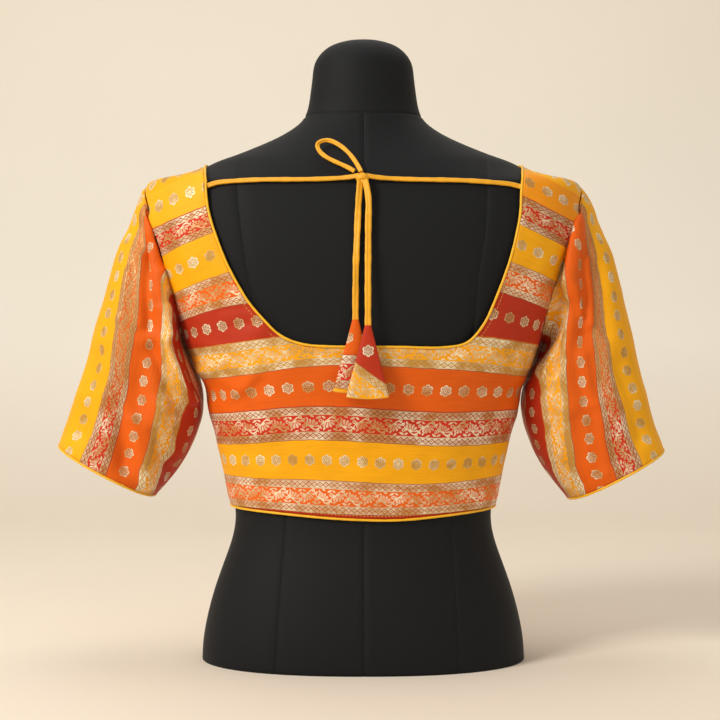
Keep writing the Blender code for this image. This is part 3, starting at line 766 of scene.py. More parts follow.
@dataclass(frozen=True)
class BrocadeWeave:
    """Layout of the brocade in millimetres, worked out from its stripes.

    Attributes:
        plain: Width of a plain stripe.
        band: Width of a patterned band.
        lattice: Width of the lattice along each edge of a band.
        rosette_pitch: Spacing of the rosettes along a plain stripe.
        diamond: Length of two diamonds of the lattice.
        flower_pitch: Spacing of the vine's flowers.
        flower_tilt: Lean of each flower in degrees.
        shoulder_seam: Place across the weave where the shoulder seam lies.
        shoulder_step: How far the weave jumps at the shoulder seam.
        thread: Width of the softened edge of a motif, about two threads.
        petal_out: Distance from a rosette's middle to the middles of its petals.
        petal: Radius of a petal.
        petal_dot: Radius of the dark dot in a petal.
        disc: Radius of the disc behind the petals.
        hub_ring: Radius of the dark ring round a rosette's hub.
        hub_dot: Radius of the dark dot in the hub.
        stem_swing: How far the vine's stem swings from the band's middle.
        flower_place: A flower's foot from the crossing of stem and pitch, along and up.
        flower_length: Length of a flower's longest petal.
        flower_half_turn: Half of a flower's fan in radians.
        petal_turn: Turn from one petal of the fan to the next in radians.
        bud: Radius of a curled bud.
    """

    plain: float = 37.0
    band: float = 32.0
    lattice: float = 8.2
    rosette_pitch: float = 17.6
    diamond: float = 12.0
    flower_pitch: float = 15.6
    flower_tilt: float = 24.0
    shoulder_seam: float = 309.0
    shoulder_step: float = 115.0
    thread: float = 0.35
    petal_out: float = 3.5
    petal: float = 2.0
    petal_dot: float = 0.85
    disc: float = 4.75
    hub_ring: float = 1.95
    hub_dot: float = 0.7
    stem_swing: float = 5.4
    flower_place: tuple[float, float] = (-2.4, 3.6)
    flower_length: float = 7.9
    flower_half_turn: float = 1.12
    petal_turn: float = 0.5
    bud: float = 1.2

    def rosette(self, along: Field, up: Field) -> tuple[Field, Field]:
        """Rosettes: six dotted petals round a dotted hub.

        Args:
            along: Millimetres along the stripe.
            up: Millimetres above the row's middle.

        Returns:
            Masks of the rosettes and of their discs.
        """
        a = ((along + self.rosette_pitch / 2) % self.rosette_pitch) - self.rosette_pitch / 2
        away = distance(a, up)
        turn = a.reckon("ARCTAN2", up)
        sector = ((turn + math.pi / 6) % (math.pi / 3)) - math.pi / 6
        out = (away * sector.reckon("COSINE")) - self.petal_out
        beside = away * sector.reckon("SINE")
        petal_way = distance(out, beside)
        petal = petal_way.under(self.petal, self.thread)
        dot = petal_way.under(self.petal_dot, 0.5)
        # 0.577 is the slope of the line halfway between two petals
        flank = beside.size() - (out + self.petal_out) * 0.577
        slit = flank.size().under(0.42, 0.5) * (away > 2.2)
        ring = (away - self.hub_ring).size().under(0.36, 0.4)
        core = away.under(self.hub_dot, 0.5)
        cut = (dot * 0.9).most(ring, core, slit * 0.8)
        disc = petal.most(away.under(self.disc, self.thread))
        return disc * (cut * 0.95).flipped(), disc

    def lattice_mask(self, along: Field, inset: Field) -> Field:
        """Lattice of dotted diamonds between two rails.

        Args:
            along: Millimetres along the band.
            inset: Distance from the band's edge.

        Returns:
            Mask of the lattice.
        """
        rise = (((along % self.diamond) / (self.diamond / 2)) - 1.0).size()
        middle = self.lattice / 2 + 0.25
        up = (inset - middle) / (self.lattice / 2 - 1.75)
        one = (up - ((rise * 2.0) - 1.0)).size()
        two = (up + ((rise * 2.0) - 1.0)).size()
        line = one.reckon("MINIMUM", two).under(0.24, 0.22)
        dot = (up.size() + (rise.flipped())).under(0.22, 0.2)
        other_dot = (up.size() + rise).under(0.22, 0.2)
        inside = up.size().under(1.18, 0.12)
        field_part = inside * (line.most(dot, other_dot) * 0.92).flipped()
        rail = (inset - 1.0).size().under(0.36, self.thread)
        inner_rail = (inset - (self.lattice - 0.5)).size().under(0.36, self.thread)
        return field_part.most(rail, inner_rail)

    def leaf(self, along: Field, up: Field, leaf: Leaf) -> Field:
        """Pointed leaf with a dark rib.

        Args:
            along: Millimetres along the band.
            up: Millimetres above its middle.
            leaf: The leaf's place and size.

        Returns:
            Mask of the leaf.
        """
        turn = math.radians(leaf.turn)
        x, y = along - leaf.along, up - leaf.up
        forward = (x * math.cos(turn)) + (y * math.sin(turn))
        beside = (y * math.cos(turn)) - (x * math.sin(turn))
        share = forward / leaf.length
        edge = ((share * share).flipped()) * leaf.width
        blade = (beside.size() - edge).under(0.0, self.thread)
        rib = beside.size().under(0.1, 0.2)
        return blade * (rib * 0.6).flipped()

    def vine(self, along: Field, up: Field) -> Field:
        """Vine: a waving stem with fan flowers, leaves and curled buds.

        Args:
            along: Millimetres along the band.
            up: Millimetres above its middle.

        Returns:
            Mask of the vine.
        """
        pitch = self.flower_pitch
        shifted = along + pitch / 2
        odd = ((shifted / pitch).reckon("FLOOR") % 2.0)
        a = (shifted % pitch) - pitch / 2
        b = up * ((odd * -2.0) + 1.0)
        wave = (a * (math.pi / pitch)).reckon("COSINE") * self.stem_swing
        wave = wave + (a * (2 * math.pi / pitch)).reckon("SINE") * 1.5
        stem = (b - wave).size().under(0.72, self.thread)
        tilt = math.radians(self.flower_tilt)
        foot_a, foot_b = a - self.flower_place[0], b - self.flower_place[1]
        x = (foot_a * math.cos(tilt)) + (foot_b * math.sin(tilt))
        y = (foot_b * math.cos(tilt)) - (foot_a * math.sin(tilt))
        away = distance(x, y)
        turn = x.reckon("ARCTAN2", y * -1.0)
        half = self.petal_turn / 2
        petals = ((turn + half) % self.petal_turn) - half
        point = (petals * petals) * 52.0
        fan = (away + point).under(self.flower_length, self.thread)
        fan = fan * turn.size().under(self.flower_half_turn, 0.06)
        slit = ((petals.size() - half).size() * away).under(0.5, 0.35) * (away > 2.4)
        collar = (away - 2.9).size().under(0.26, 0.35)
        vein = (petals.size() * away).under(0.24, 0.3) * (away > 4.4)
        masks = [fan * (slit.most(collar * 0.8, vein * 0.7) * 0.9).flipped()]
        for leaf in VINE_LEAVES:
            masks.append(self.leaf(a, b, leaf))
        for bud_along, bud_up in ((3.4, 6.3), (6.4, -2.4)):
            ring = distance(a - bud_along, b - bud_up)
            masks.append((ring - self.bud).size().under(0.42, self.thread))
        return stem.most(*masks)


VINE_LEAVES = table(Leaf, [
    (-6.5, 1.0, 96, 2.6, 1.0), (-6.2, 5.6, 150, 2.2, 0.9), (6.4, 3.6, 44, 2.5, 1.0),
    (4.9, -5.6, 158, 2.8, 1.0), (-5.6, -4.6, 60, 2.3, 0.85), (-1.2, -6.8, 20, 2.2, 0.75),
])
WEAVE = BrocadeWeave()


@dataclass(frozen=True)
class SilkBrocade:
    """Silk satin woven in stripes, with motifs of flat gilt thread (zari).

    Silk satin, loom-woven: a soft, even sheen with colour that stays deep in the folds. The
    gilt thread floats on it in motifs, a little raised, paler and sharper in its shine. Its tan
    turns to cream in random patches: a painted glint, standing in for the light it catches.

    Attributes:
        rail: Colour of the dark thread along each edge of a band.
        shoulder: Painted highlight, lit colour of the last plain stripe below the shoulder seam.
        faded_band: Colour that the red band fades to along the sleeves.
        slide: Shift of the motifs along the cloth from one stripe to the next.
        slides_back: How far the second and third pair of stripes are shifted back.
        vine_slide: Shift of the vine for each millimetre of the rosettes' shift.
        sway: How far the weave wanders along and across the stripes.
    """

    name: str = "silk_brocade_woven"
    yellow: str = "#f5aa06"
    red_band: str = "#cb3116"
    orange: str = "#e15e06"
    gold_band: str = "#f6a50c"
    red: str = "#b53114"
    orange_band: str = "#e8620c"
    shoulder: str = "#fbaf14"
    faded_band: str = "#d66e2a"
    # Cream of the painted glint on the gilt thread, whose own colour is the tan below
    zari_glint: str = "#f6ebc8"
    zari_deep: str = "#c39a5c"
    rail: str = "#9c5440"
    roughness: float = 0.58
    zari_roughness: float = 0.38
    zari_metal: float = 0.22
    sheen: float = 0.02
    slide: float = 5.7
    slides_back: tuple[float, float] = (9.7, 3.8)
    vine_slide: float = 1.7
    sway: tuple[float, float] = (1.6, 1.1)

    def ground(self, tree: bpy.types.NodeTree, place: Field,
               shoulder: bool) -> bpy.types.NodeSocket:
        """Colour of the stripes without their motifs.

        Args:
            tree: The material's tree.
            place: Millimetres across the weave within its period.
            shoulder: True for the copy with the painted highlight on the stripe at the shoulder.

        Returns:
            Socket of the colour.
        """
        period = 3 * (WEAVE.plain + WEAVE.band)
        orange = self.shoulder if shoulder else self.orange
        hues = [self.yellow, self.red_band, orange, self.gold_band, self.red, self.orange_band]
        ramp = add_node(tree, "ShaderNodeValToRGB", {}, {0: place / period})
        bands = ramp.color_ramp
        bands.interpolation = "CONSTANT"
        for index, hue in enumerate(hues):
            pairs, odd = divmod(index, 2)
            start = (pairs * (WEAVE.plain + WEAVE.band) + odd * WEAVE.plain) / period
            stop = bands.elements[0] if index == 0 else bands.elements.new(start)
            stop.position = start
            stop.color = linear(hue)
        bands.elements.remove(bands.elements[-1])
        return ramp.outputs[0]

    def material(self) -> Material:
        """Build the material on the cloth's own millimetres, in the attribute "cut"."""
        material, tree, shader = new_material(self.name)
        cut = add_node(tree, "ShaderNodeAttribute", {"attribute_name": "cut"}, {})
        parts = add_node(tree, "ShaderNodeSeparateXYZ", {}, {0: cut.outputs["Vector"]})
        wander = add_node(tree, "ShaderNodeTexNoise", FLAT_NOISE, {
            "Vector": cut.outputs["Vector"], "Scale": 0.11, "Detail": 2.0})
        sway = Field(wander.outputs[0]) - 0.5
        along = Field(parts.outputs[0]) + (sway * self.sway[0])
        # Third channel: share of the painted highlight on the bodice; below 0, the sleeves' fade
        highlight_and_fade = Field(parts.outputs[2])
        beyond = Field(parts.outputs[1]) > WEAVE.shoulder_seam
        up = Field(parts.outputs[1]) + (sway * self.sway[1]) + (beyond * WEAVE.shoulder_step)
        faded = (highlight_and_fade * -1.0).clamped()
        highlight_and_fade = highlight_and_fade.clamped() * beyond.flipped()

        pair = WEAVE.plain + WEAVE.band
        in_pair = up % pair
        repeat = (up / pair).reckon("FLOOR")
        is_band = in_pair > WEAVE.plain
        second, third = ((repeat - row).size().under(0.5, 0.1) for row in (1.0, 2.0))
        back_second, back_third = self.slides_back
        slide = (repeat * self.slide) - (second * back_second) - (third * back_third)
        rosettes, discs = WEAVE.rosette(along + slide, in_pair - WEAVE.plain / 2)
        in_band = in_pair - WEAVE.plain
        from_middle = in_band - WEAVE.band / 2
        inset = (from_middle.size() * -1.0) + WEAVE.band / 2
        in_lattice = (inset * -1.0) > -WEAVE.lattice
        vine_along = along + (slide * self.vine_slide)
        vine = WEAVE.vine(vine_along, from_middle) * in_lattice.flipped()
        lattice = WEAVE.lattice_mask(along + slide, inset) * in_lattice
        motifs = (rosettes * is_band.flipped()).most(vine.most(lattice) * is_band)

        # Real threads are 0.2 mm apart; these are drawn 0.9 mm apart so that they show
        across = {"wave_type": "BANDS", "bands_direction": "Y"}
        threads = add_node(tree, "ShaderNodeTexWave", across, {
            "Vector": cut.outputs["Vector"], "Scale": 0.35, "Distortion": 1.2, "Detail": 2.0,
            "Detail Scale": 1.5})
        slub_place = add_node(tree, "ShaderNodeMapping", {}, {
            "Vector": cut.outputs["Vector"], "Scale": (0.03, 0.9, 1.0)})
        slub = add_node(tree, "ShaderNodeTexNoise", FLAT_NOISE, {
            "Vector": slub_place.outputs[0], "Scale": 1.0, "Detail": 3.0})
        cloud = add_node(tree, "ShaderNodeTexNoise", FLAT_NOISE, {
            "Vector": cut.outputs["Vector"], "Scale": 0.026, "Detail": 3.0, "Roughness": 0.55})

        plain = self.ground(tree, up % (3 * pair), False)
        # A lit copy of the stripes: painted highlight on the orange stripe below the shoulder seam
        lit = self.ground(tree, up % (3 * pair), True)
        base = add_node(tree, "ShaderNodeMix", MIX_COLOURS, {0: highlight_and_fade, 6: plain, 7: lit})
        red_middle = WEAVE.plain + WEAVE.band / 2
        faded = faded * ((up % (3 * pair)) - red_middle).size().under(WEAVE.band / 2, 0.2)
        base = add_node(tree, "ShaderNodeMix", MIX_COLOURS, {
            0: faded, 6: base.outputs[2], 7: linear(self.faded_band)})
        shade = ((Field(slub.outputs[0]) - 0.5) * 0.22) + 1.0
        shade = shade + ((Field(cloud.outputs[0]) - 0.5) * 0.24)
        dark = (in_lattice * is_band * 0.42).most(discs * is_band.flipped() * 0.4)
        shade = shade * dark.flipped()
        grey = add_node(tree, "ShaderNodeCombineColor", {}, {0: shade, 1: shade, 2: shade})
        tinted = add_node(tree, "ShaderNodeMix", TINT, {
            0: 1.0, 6: base.outputs[2], 7: grey.outputs[0]})
        edge_line = (inset - 0.25).size().under(0.3, 0.25) * is_band
        railed = add_node(tree, "ShaderNodeMix", MIX_COLOURS, {
            0: edge_line * 0.75, 6: tinted.outputs[2], 7: linear(self.rail)})
        # Painted glint: random patches where the gilt thread turns from tan to cream; less on the
        # faded band
        glint = add_node(tree, "ShaderNodeTexNoise", FLAT_NOISE, {
            "Vector": cut.outputs["Vector"], "Scale": 0.034, "Detail": 4.0, "Roughness": 0.6})
        bright = ((Field(glint.outputs[0]) - 0.40) * 4.2).clamped()
        bright = bright * (faded * 0.88).flipped()
        gilt = add_node(tree, "ShaderNodeMix", MIX_COLOURS, {
            0: bright, 6: linear(self.zari_deep), 7: linear(self.zari_glint)})
        wear = ((Field(threads.outputs[0]) * 0.18) + 0.84).clamped()
        cover = motifs * wear
        colour = add_node(tree, "ShaderNodeMix", MIX_COLOURS, {
            0: cover, 6: railed.outputs[2], 7: gilt.outputs[2]})
        height = (motifs * 0.6) + (Field(threads.outputs[0]) * 0.12)
        height = height + (Field(slub.outputs[0]) * 0.25)
        relief = add_node(tree, "ShaderNodeBump", {}, {
            "Strength": 0.35, "Distance": 0.0004, "Height": height})
        rough = (cover * (self.zari_roughness - self.roughness)) + self.roughness
        fill_inputs(shader, {
            "Base Color": colour.outputs[2], "Metallic": cover * self.zari_metal,
            "Roughness": rough, "Normal": relief.outputs[0], "Sheen Weight": self.sheen,
            "Sheen Roughness": 0.4, "Specular IOR Level": 0.2})
        return material


@dataclass(frozen=True)
class SatinBias:
    """Silk satin cut on the bias and sewn into piping or ties.

    Silk satin on the bias: a smooth bright thread-yellow with a soft highlight along the roll
    and faint slanting threads.
    """

    name: str
    colour: str
    deep: str
    roughness: float = 0.42

    def material(self) -> Material:
        """Build the material on the millimetres along and round the piece."""
        material, tree, shader = new_material(self.name)
        cut = add_node(tree, "ShaderNodeAttribute", {"attribute_name": "cut"}, {})
        slant = add_node(tree, "ShaderNodeMapping", {}, {
            "Vector": cut.outputs["Vector"], "Rotation": (0.0, 0.0, math.radians(45))})
        threads = add_node(tree, "ShaderNodeTexWave", {"wave_type": "BANDS"}, {
            "Vector": slant.outputs[0], "Scale": 0.45, "Distortion": 0.8, "Detail": 2.0})
        cloud = add_node(tree, "ShaderNodeTexNoise", FLAT_NOISE, {
            "Vector": cut.outputs["Vector"], "Scale": 0.16, "Detail": 3.0})
        share = (Field(threads.outputs[0]) * 0.3) + (Field(cloud.outputs[0]) * 0.9)
        hue = add_node(tree, "ShaderNodeMix", MIX_COLOURS, {
            0: share, 6: linear(self.deep), 7: linear(self.colour)})
        relief = add_node(tree, "ShaderNodeBump", {}, {
            "Strength": 0.3, "Distance": 0.0003,
            "Height": Field(threads.outputs[0]) + Field(cloud.outputs[0])})
        fill_inputs(shader, {
            "Base Color": hue.outputs[2], "Normal": relief.outputs[0],
            "Roughness": self.roughness, "Sheen Weight": 0.05})
        return material


@dataclass(frozen=True)
class FormJersey:
    """Black cotton jersey stretched over a moulded foam form.

    Cotton jersey, weft-knitted: matte charcoal with a fine grain and a faint bloom of fibre at
    its edges, and no mirror-like shine.
    """

    name: str = "cotton_jersey_knitted"
    colour: str = "#040506"
    lighter: str = "#0b0c0e"
    roughness: float = 0.72

    def material(self) -> Material:
        """Build the material in the piece's own metres."""
        material, tree, shader = new_material(self.name)
        place = add_node(tree, "ShaderNodeTexCoord", {}, {})
        # Real stitches are 0.6 mm; the grain is drawn at 1.2 mm so that it shows
        grain = add_node(tree, "ShaderNodeTexNoise", {}, {
            "Vector": place.outputs["Object"], "Scale": 850.0, "Detail": 2.0})
        cloud = add_node(tree, "ShaderNodeTexNoise", {}, {
            "Vector": place.outputs["Object"], "Scale": 9.0, "Detail": 3.0})
        share = (Field(grain.outputs[0]) * 0.5) + (Field(cloud.outputs[0]) * 0.4)
        hue = add_node(tree, "ShaderNodeMix", MIX_COLOURS, {
            0: share, 6: linear(self.colour), 7: linear(self.lighter)})
        relief = add_node(tree, "ShaderNodeBump", {}, {
            "Strength": 0.25, "Distance": 0.0003, "Height": grain.outputs[0]})
        fill_inputs(shader, {
            "Base Color": hue.outputs[2], "Normal": relief.outputs[0],
            "Roughness": self.roughness, "Specular IOR Level": 0.28, "Sheen Weight": 0.02})
        return material


@dataclass(frozen=True)
class SewingThread:
    """Mercerised cotton sewing thread: small, round and slightly glossy."""

    name: str = "cotton_thread_spun"
    colour: str = "#f8d678"
    deep: str = "#d9a640"
    roughness: float = 0.55

    def material(self) -> Material:
        """Build the material in the piece's own metres."""
        material, tree, shader = new_material(self.name)
        place = add_node(tree, "ShaderNodeTexCoord", {}, {})
        ply = add_node(tree, "ShaderNodeTexNoise", {}, {
            "Vector": place.outputs["Object"], "Scale": 1600.0})
        hue = add_node(tree, "ShaderNodeMix", MIX_COLOURS, {
            0: ply.outputs[0], 6: linear(self.deep), 7: linear(self.colour)})
        fill_inputs(shader, {"Base Color": hue.outputs[2], "Roughness": self.roughness})
        return material


@dataclass(frozen=True)
class StudioPaper:
    """Matte beige paper of the studio's floor and back wall, with painted shade on the floor."""

    name: str = "studio_paper"
    colour: str = "#fff6e6"
    shaded_floor_colour: str = "#efe2d0"

    def material(self) -> Material:
        """Build the material in the piece's own metres."""
        material, tree, shader = new_material(self.name)
        place = add_node(tree, "ShaderNodeTexCoord", {}, {})
        cloud = add_node(tree, "ShaderNodeTexNoise", {}, {
            "Vector": place.outputs["Object"], "Scale": 3.0, "Detail": 4.0})
        parts = add_node(tree, "ShaderNodeSeparateXYZ", {}, {0: place.outputs["Object"]})
        # Painted shade: the floor is darker, turning to the wall's colour a third of a metre up
        height = Field(parts.outputs[2]).reckon("MULTIPLY", 3.0, clamp=True)
        hue = add_node(tree, "ShaderNodeMix", MIX_COLOURS, {
            0: height, 6: linear(self.shaded_floor_colour), 7: linear(self.colour)})
        patchy = ((Field(cloud.outputs[0]) - 0.5) * 0.05) + 0.99
        grey = add_node(tree, "ShaderNodeCombineColor", {}, {0: patchy, 1: patchy, 2: patchy})
        tinted = add_node(tree, "ShaderNodeMix", TINT, {
            0: 1.0, 6: hue.outputs[2], 7: grey.outputs[0]})
        fill_inputs(shader, {
            "Base Color": tinted.outputs[2], "Roughness": 0.95, "Specular IOR Level": 0.1})
        return material


# Meshes

@dataclass
class MeshMaker:
    """Collects grids of points into one mesh with the cloth's own millimetres on it.

    Attributes:
        name: Name of the piece.
        points: Blocks of points in millimetres.
        cuts: Place in the cloth of each point, in as many blocks.
        faces: Blocks of faces, as numbers of points.
        count: How many points there are so far.
    """

    name: str
    points: list[Array] = field(default_factory=list)
    cuts: list[Array] = field(default_factory=list)
    faces: list[Array] = field(default_factory=list)
    count: int = 0

    def add_points(self, points: Array, cut: Array) -> Array:
        """Add points with their places in the cloth, and return their numbers."""
        flat = points.reshape(-1, 3)
        self.points.append(flat)
        self.cuts.append(np.broadcast_to(cut, points.shape).reshape(-1, 3))
        numbers = np.arange(self.count, self.count + len(flat)).reshape(points.shape[:-1])
        self.count += len(flat)
        return numbers

    def add_faces(self, numbers: Array, closed: bool, flip: bool) -> None:
        """Add four-sided faces over a grid of point numbers.

        Args:
            numbers: Rows and columns of point numbers.
            closed: True where each row is a ring.
            flip: True to turn the faces over.
        """
        if closed:
            numbers = np.concatenate([numbers, numbers[:, :1]], axis=1)
        faces = np.stack(
            [numbers[:-1, :-1], numbers[:-1, 1:], numbers[1:, 1:], numbers[1:, :-1]], axis=-1
        ).reshape(-1, 4)
        self.faces.append(faces[:, ::-1] if flip else faces)

    def add_cap(self, ring: Array, flip: bool) -> None:
        """Close a ring of point numbers with triangles to its middle."""
        middle = np.concatenate(self.points)[ring].mean(axis=0)
        cut = np.concatenate(self.cuts)[ring].mean(axis=0)
        centre = self.add_points(middle[None], cut)[0]
        after = np.roll(ring, -1)
        triangles = np.stack([ring, after, np.full(len(ring), centre)], axis=-1)
        self.faces.append(triangles[:, ::-1] if flip else triangles)

    def add_wall(self, points: Array, cut: Array, flip: bool, thickness: float) -> None:
        """Add cloth of a thickness whose outer face is an open grid.

        Args:
            points: Rows and columns of points of the outer face.
            cut: Place in the cloth of each point.
            flip: True to turn the faces over.
            thickness: Thickness of the cloth.
        """
        sign = 1.0 if flip else -1.0
        outer = self.add_points(points, cut)
        inner = self.add_points(points - grid_normals(points, sign) * thickness, cut)
        self.add_faces(outer, False, flip)
        self.add_faces(inner, False, not flip)
        for edge, other in ((outer[0], inner[0]), (inner[-1], outer[-1]),
                            (inner[:, 0], outer[:, 0]), (outer[:, -1], inner[:, -1])):
            self.add_faces(np.stack([edge, other]), False, not flip)

    def add_tube(self, rings: Array, around: Array, along: Array, closed: bool) -> None:
        """Add a tube through rings of points.

        Args:
            rings: Rings of points, one row for each.
            around: Millimetres round the ring at each of its points.
            along: Millimetres along the tube at each ring.
            closed: True where the last ring meets the first.
        """
        cut = np.stack(np.broadcast_arrays(along[:, None], around[None, :], 0.0), axis=-1)
        numbers = self.add_points(rings, cut)
        if closed:
            numbers = np.concatenate([numbers, numbers[:1]], axis=0)
        self.add_faces(numbers, True, True)
        if not closed:
            self.add_cap(numbers[0], True)
            self.add_cap(numbers[-1], False)

    def make(self, material: Material) -> Piece:
        """Make the object, smooth and with its material.

        Args:
            material: Its material.

        Returns:
            The object, in the scene.
        """
        mesh = bpy.data.meshes.new(self.name)
        faces = [tuple(face) for block in self.faces for face in block.tolist()]
        mesh.from_pydata((np.concatenate(self.points) * MM).tolist(), [], faces)
        attribute = mesh.attributes.new("cut", "FLOAT_VECTOR", "POINT")
        attribute.data.foreach_set("vector", np.concatenate(self.cuts).astype(np.float32).ravel())
        mesh.materials.append(material)
        mesh.shade_smooth()
        piece = bpy.data.objects.new(self.name, mesh)
        bpy.context.scene.collection.objects.link(piece)
        return piece

    def build(self, material: Material) -> Piece:
        """Make the object as a piece that rides on the one body, and report it."""
        piece = self.make(material)
        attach(piece, "root")
        LOG.info("%s: %d points", self.name, self.count)
        return piece


def tube_rings(line: Array, facing: Array, outline: Array, turns: Array | None = None,
               closed: bool = False) -> Array:
    """Rings of an outline that follows a line.

    Args:
        line: Points of the tube's middle.
        facing: Direction that the outline's second coordinate points to, at each point.
        outline: Outline's points as (across, outward), one set or one for each ring.
        turns: Twist at each point in degrees.
        closed: True where the line is a loop.

    Returns:
        One ring of points for each point of the line.
    """
    if closed:
        along = np.roll(line, -1, axis=0) - np.roll(line, 1, axis=0)
    else:
        along = np.gradient(line, axis=0)
    along = unit(along)
    across = unit(np.cross(along, facing))
    outward = np.cross(across, along)
    if turns is not None:
        twist = np.radians(turns)[:, None]
        cosine, sine = np.cos(twist), np.sin(twist)
        across, outward = across * cosine + outward * sine, outward * cosine - across * sine
    outline = np.broadcast_to(outline, (len(line), *outline.shape[-2:]))
    sideways = across[:, None] * outline[..., :1]
    return line[:, None] + sideways + outward[:, None] * outline[..., 1:]


def ribbon_outline(width: float, thickness: float, groove: float, count: int = 28) -> Array:
    """Outline of a flat sewn tube with a shallow groove along each face.

    Args:
        width: Its width.
        thickness: Its thickness.
        groove: Depth of the groove as a share of half the thickness.
        count: Points of the outline.

    Returns:
        Points as (across, outward).
    """
    square, groove_width = 2.6, 0.22
    across, outward = round_outline(turns_round(count)).T
    scale = (np.abs(across)**square + np.abs(outward)**square)**(-1 / square)
    across, outward = across * scale, outward * scale
    outward = outward * (1 - groove * np.exp(-(across / groove_width)**2))
    return np.stack([across * width / 2, outward * thickness / 2], axis=1)


# The dress form

# The greatest angle that counts as the form's back
BACK_TURN = 89.0


class SeamPoint(NamedTuple):
    """Where a lengthwise seam of the form's cover crosses a height."""

    z: float
    x: float


@dataclass
class DressForm:
    """The form: moulded foam under a jersey cover whose seams lie in grooves.

    Attributes:
        groove_depth: Depth of a seam's groove.
        groove_width: Half width of a seam's groove.
        neck_seam_z: Height of the seam below the neck cap at the sides.
        neck_seam_arch: How far the neck seam dips at the centre back.
        neck_seam_reach: Height over which the dip fades out.
        neck_seam_width: Half width of the neck seam's groove.
        shoulder_z: Height where the rings begin to lie closer.
        groove_steps: Distances across a groove as shares of its width, with their depths.
        seams_fade: Heights below the neck's top over which the lengthwise seams go out.
        flat_top: Height above which the form's skin is taken as level.
        columns: Columns of points between two lengthwise seams.
        front_seam: Angle of the lengthwise seams on the hidden front.
        centre_seam: Angle of the seam at the centre back.
        seam_reach: Share of the half width within which the lengthwise seams stay.
        princess_left: Lengthwise seam on the left of the back.
        princess_right: Lengthwise seam on its right.
        finish: The cover's material.
    """

    groove_depth: float = 0.8
    groove_width: float = 1.5
    neck_seam_z: float = 537.0
    neck_seam_arch: float = -3.0
    neck_seam_reach: float = 22.0
    neck_seam_width: float = 1.1
    shoulder_z: float = 440.0
    groove_steps: Sequence[tuple[float, float]] = ((0.0, 1.0), (0.5, 0.45), (1.0, 0.0))
    seams_fade: tuple[float, float] = (600.0, 30.0)
    flat_top: float = 606.0
    columns: int = 16
    front_seam: float = 124.0
    centre_seam: float = 0.4
    seam_reach: float = 0.965
    princess_left: Sequence[SeamPoint] = table(SeamPoint, [
        (0, -83), (40, -81), (106, -77), (150, -74), (190, -77), (250, -84), (300, -95),
        (350, -105), (380, -110), (408, -114), (440, -118), (467, -121), (500, -122), (614, -122),
    ])
    princess_right: Sequence[SeamPoint] = table(SeamPoint, [
        (0, 90), (40, 89), (106, 86.6), (150, 84), (190, 86), (250, 92), (328, 105), (375, 108.5),
        (418, 116), (467, 118.5), (500, 120), (614, 120),
    ])
    finish: FormJersey = field(default_factory=FormJersey)

    def seam_angle(self, points: Sequence[SeamPoint], z: Array) -> Array:
        """Angle of a lengthwise seam on the form's back.

        Args:
            points: Where it crosses some heights.
            z: Heights.

        Returns:
            The angle at each height.
        """
        rows = np.array(points)
        x = np.interp(z, rows[:, 0], rows[:, 1])
        half = np.interp(z, SHAPE.profile[:, 0], SHAPE.profile[:, 1])
        x = np.clip(x, -self.seam_reach * half, self.seam_reach * half)
        least, most = 0 * z - BACK_TURN, 0 * z + BACK_TURN
        return angle_where(lambda angle: SHAPE.form_point(angle, z)[..., 0], x, least, most)

    def heights(self) -> Array:
        """Heights of the rings, close together at the neck seam."""
        seam = self.neck_seam_z
        low = np.linspace(0, self.shoulder_z, 110, endpoint=False)
        shoulder = np.linspace(self.shoulder_z, seam - 2.5, 74, endpoint=False)
        neck = seam + np.array([-2.5, -1.6, -0.8, 0, 0.8, 1.6, 2.5])
        top = np.linspace(seam + 4, 612, 44)
        return np.concatenate([low, shoulder, neck, top])

    def build(self) -> Piece:
        """Build the form with its seams."""
        z = self.heights()
        right = self.seam_angle(self.princess_right, z)
        left = self.seam_angle(self.princess_left, z)
        fixed = {turn: turn + 0 * z for turn in (self.front_seam, self.centre_seam, 90, 180)}
        front, centre, side, middle = fixed.values()
        seams = [-middle, -front, -side, left, centre, right, side, front, middle]
        columns, depths = [], []
        for before, after in zip(seams[:-1], seams[1:]):
            degree = SHAPE.form_point(before + 1, z) - SHAPE.form_point(before, z)
            edge = self.groove_width / np.maximum(np.linalg.norm(degree, axis=1), 0.2)
            edge = np.minimum(edge, (after - before) / 5)
            columns += [before + edge * share for share, _ in self.groove_steps]
            depths += [depth for _, depth in self.groove_steps]
            for share in np.linspace(0, 1, self.columns)[1:-1]:
                columns.append((before + edge) * (1 - share) + (after - edge) * share)
                depths.append(0.0)
            columns += [after - edge * share for share, _ in self.groove_steps[:0:-1]]
            depths += [depth for _, depth in self.groove_steps[:0:-1]]
        angles = np.stack(columns, axis=1)
        groove = np.array(depths)[None, :] * np.ones_like(angles)
        behind = np.clip(np.cos(np.radians(angles)), 0, 1)**2
        above_seam = z[:, None] - self.neck_seam_z
        near_neck = np.exp(-(above_seam / self.neck_seam_reach)**2)
        heights = z[:, None] + self.neck_seam_arch * behind * near_neck
        neck_groove = np.exp(-(above_seam / self.neck_seam_width)**2)
        fade_z, fade_run = self.seams_fade
        fade = np.clip((fade_z - z[:, None]) / fade_run, 0, 1) * (above_seam < 0)
        groove = groove * fade
        points = SHAPE.form_point(angles, heights)
        normals = SHAPE.form_normal(angles, heights)
        normals[heights > self.flat_top] = (0.0, 0.0, 1.0)
        points = points - normals * (np.maximum(groove, neck_groove) * self.groove_depth)[..., None]
        maker = MeshMaker("form_cover")
        numbers = maker.add_points(points, 0.0 * points)
        maker.add_faces(numbers, True, False)
        maker.add_cap(numbers[0], True)
        tip = maker.add_points(np.array([FORM_TOP]), np.zeros(3))[0]
        ring = numbers[-1]
        maker.faces.append(np.stack([ring, np.roll(ring, -1), np.full(len(ring), tip)], axis=-1))
        piece = maker.build(self.finish.material())
        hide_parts("dress_form")
        return piece


# The blouse

class StripeEdge(NamedTuple):
    """Heights of one edge between two stripes across the back, at set places from side to side."""

    weave: float
    heights: Sequence[float]


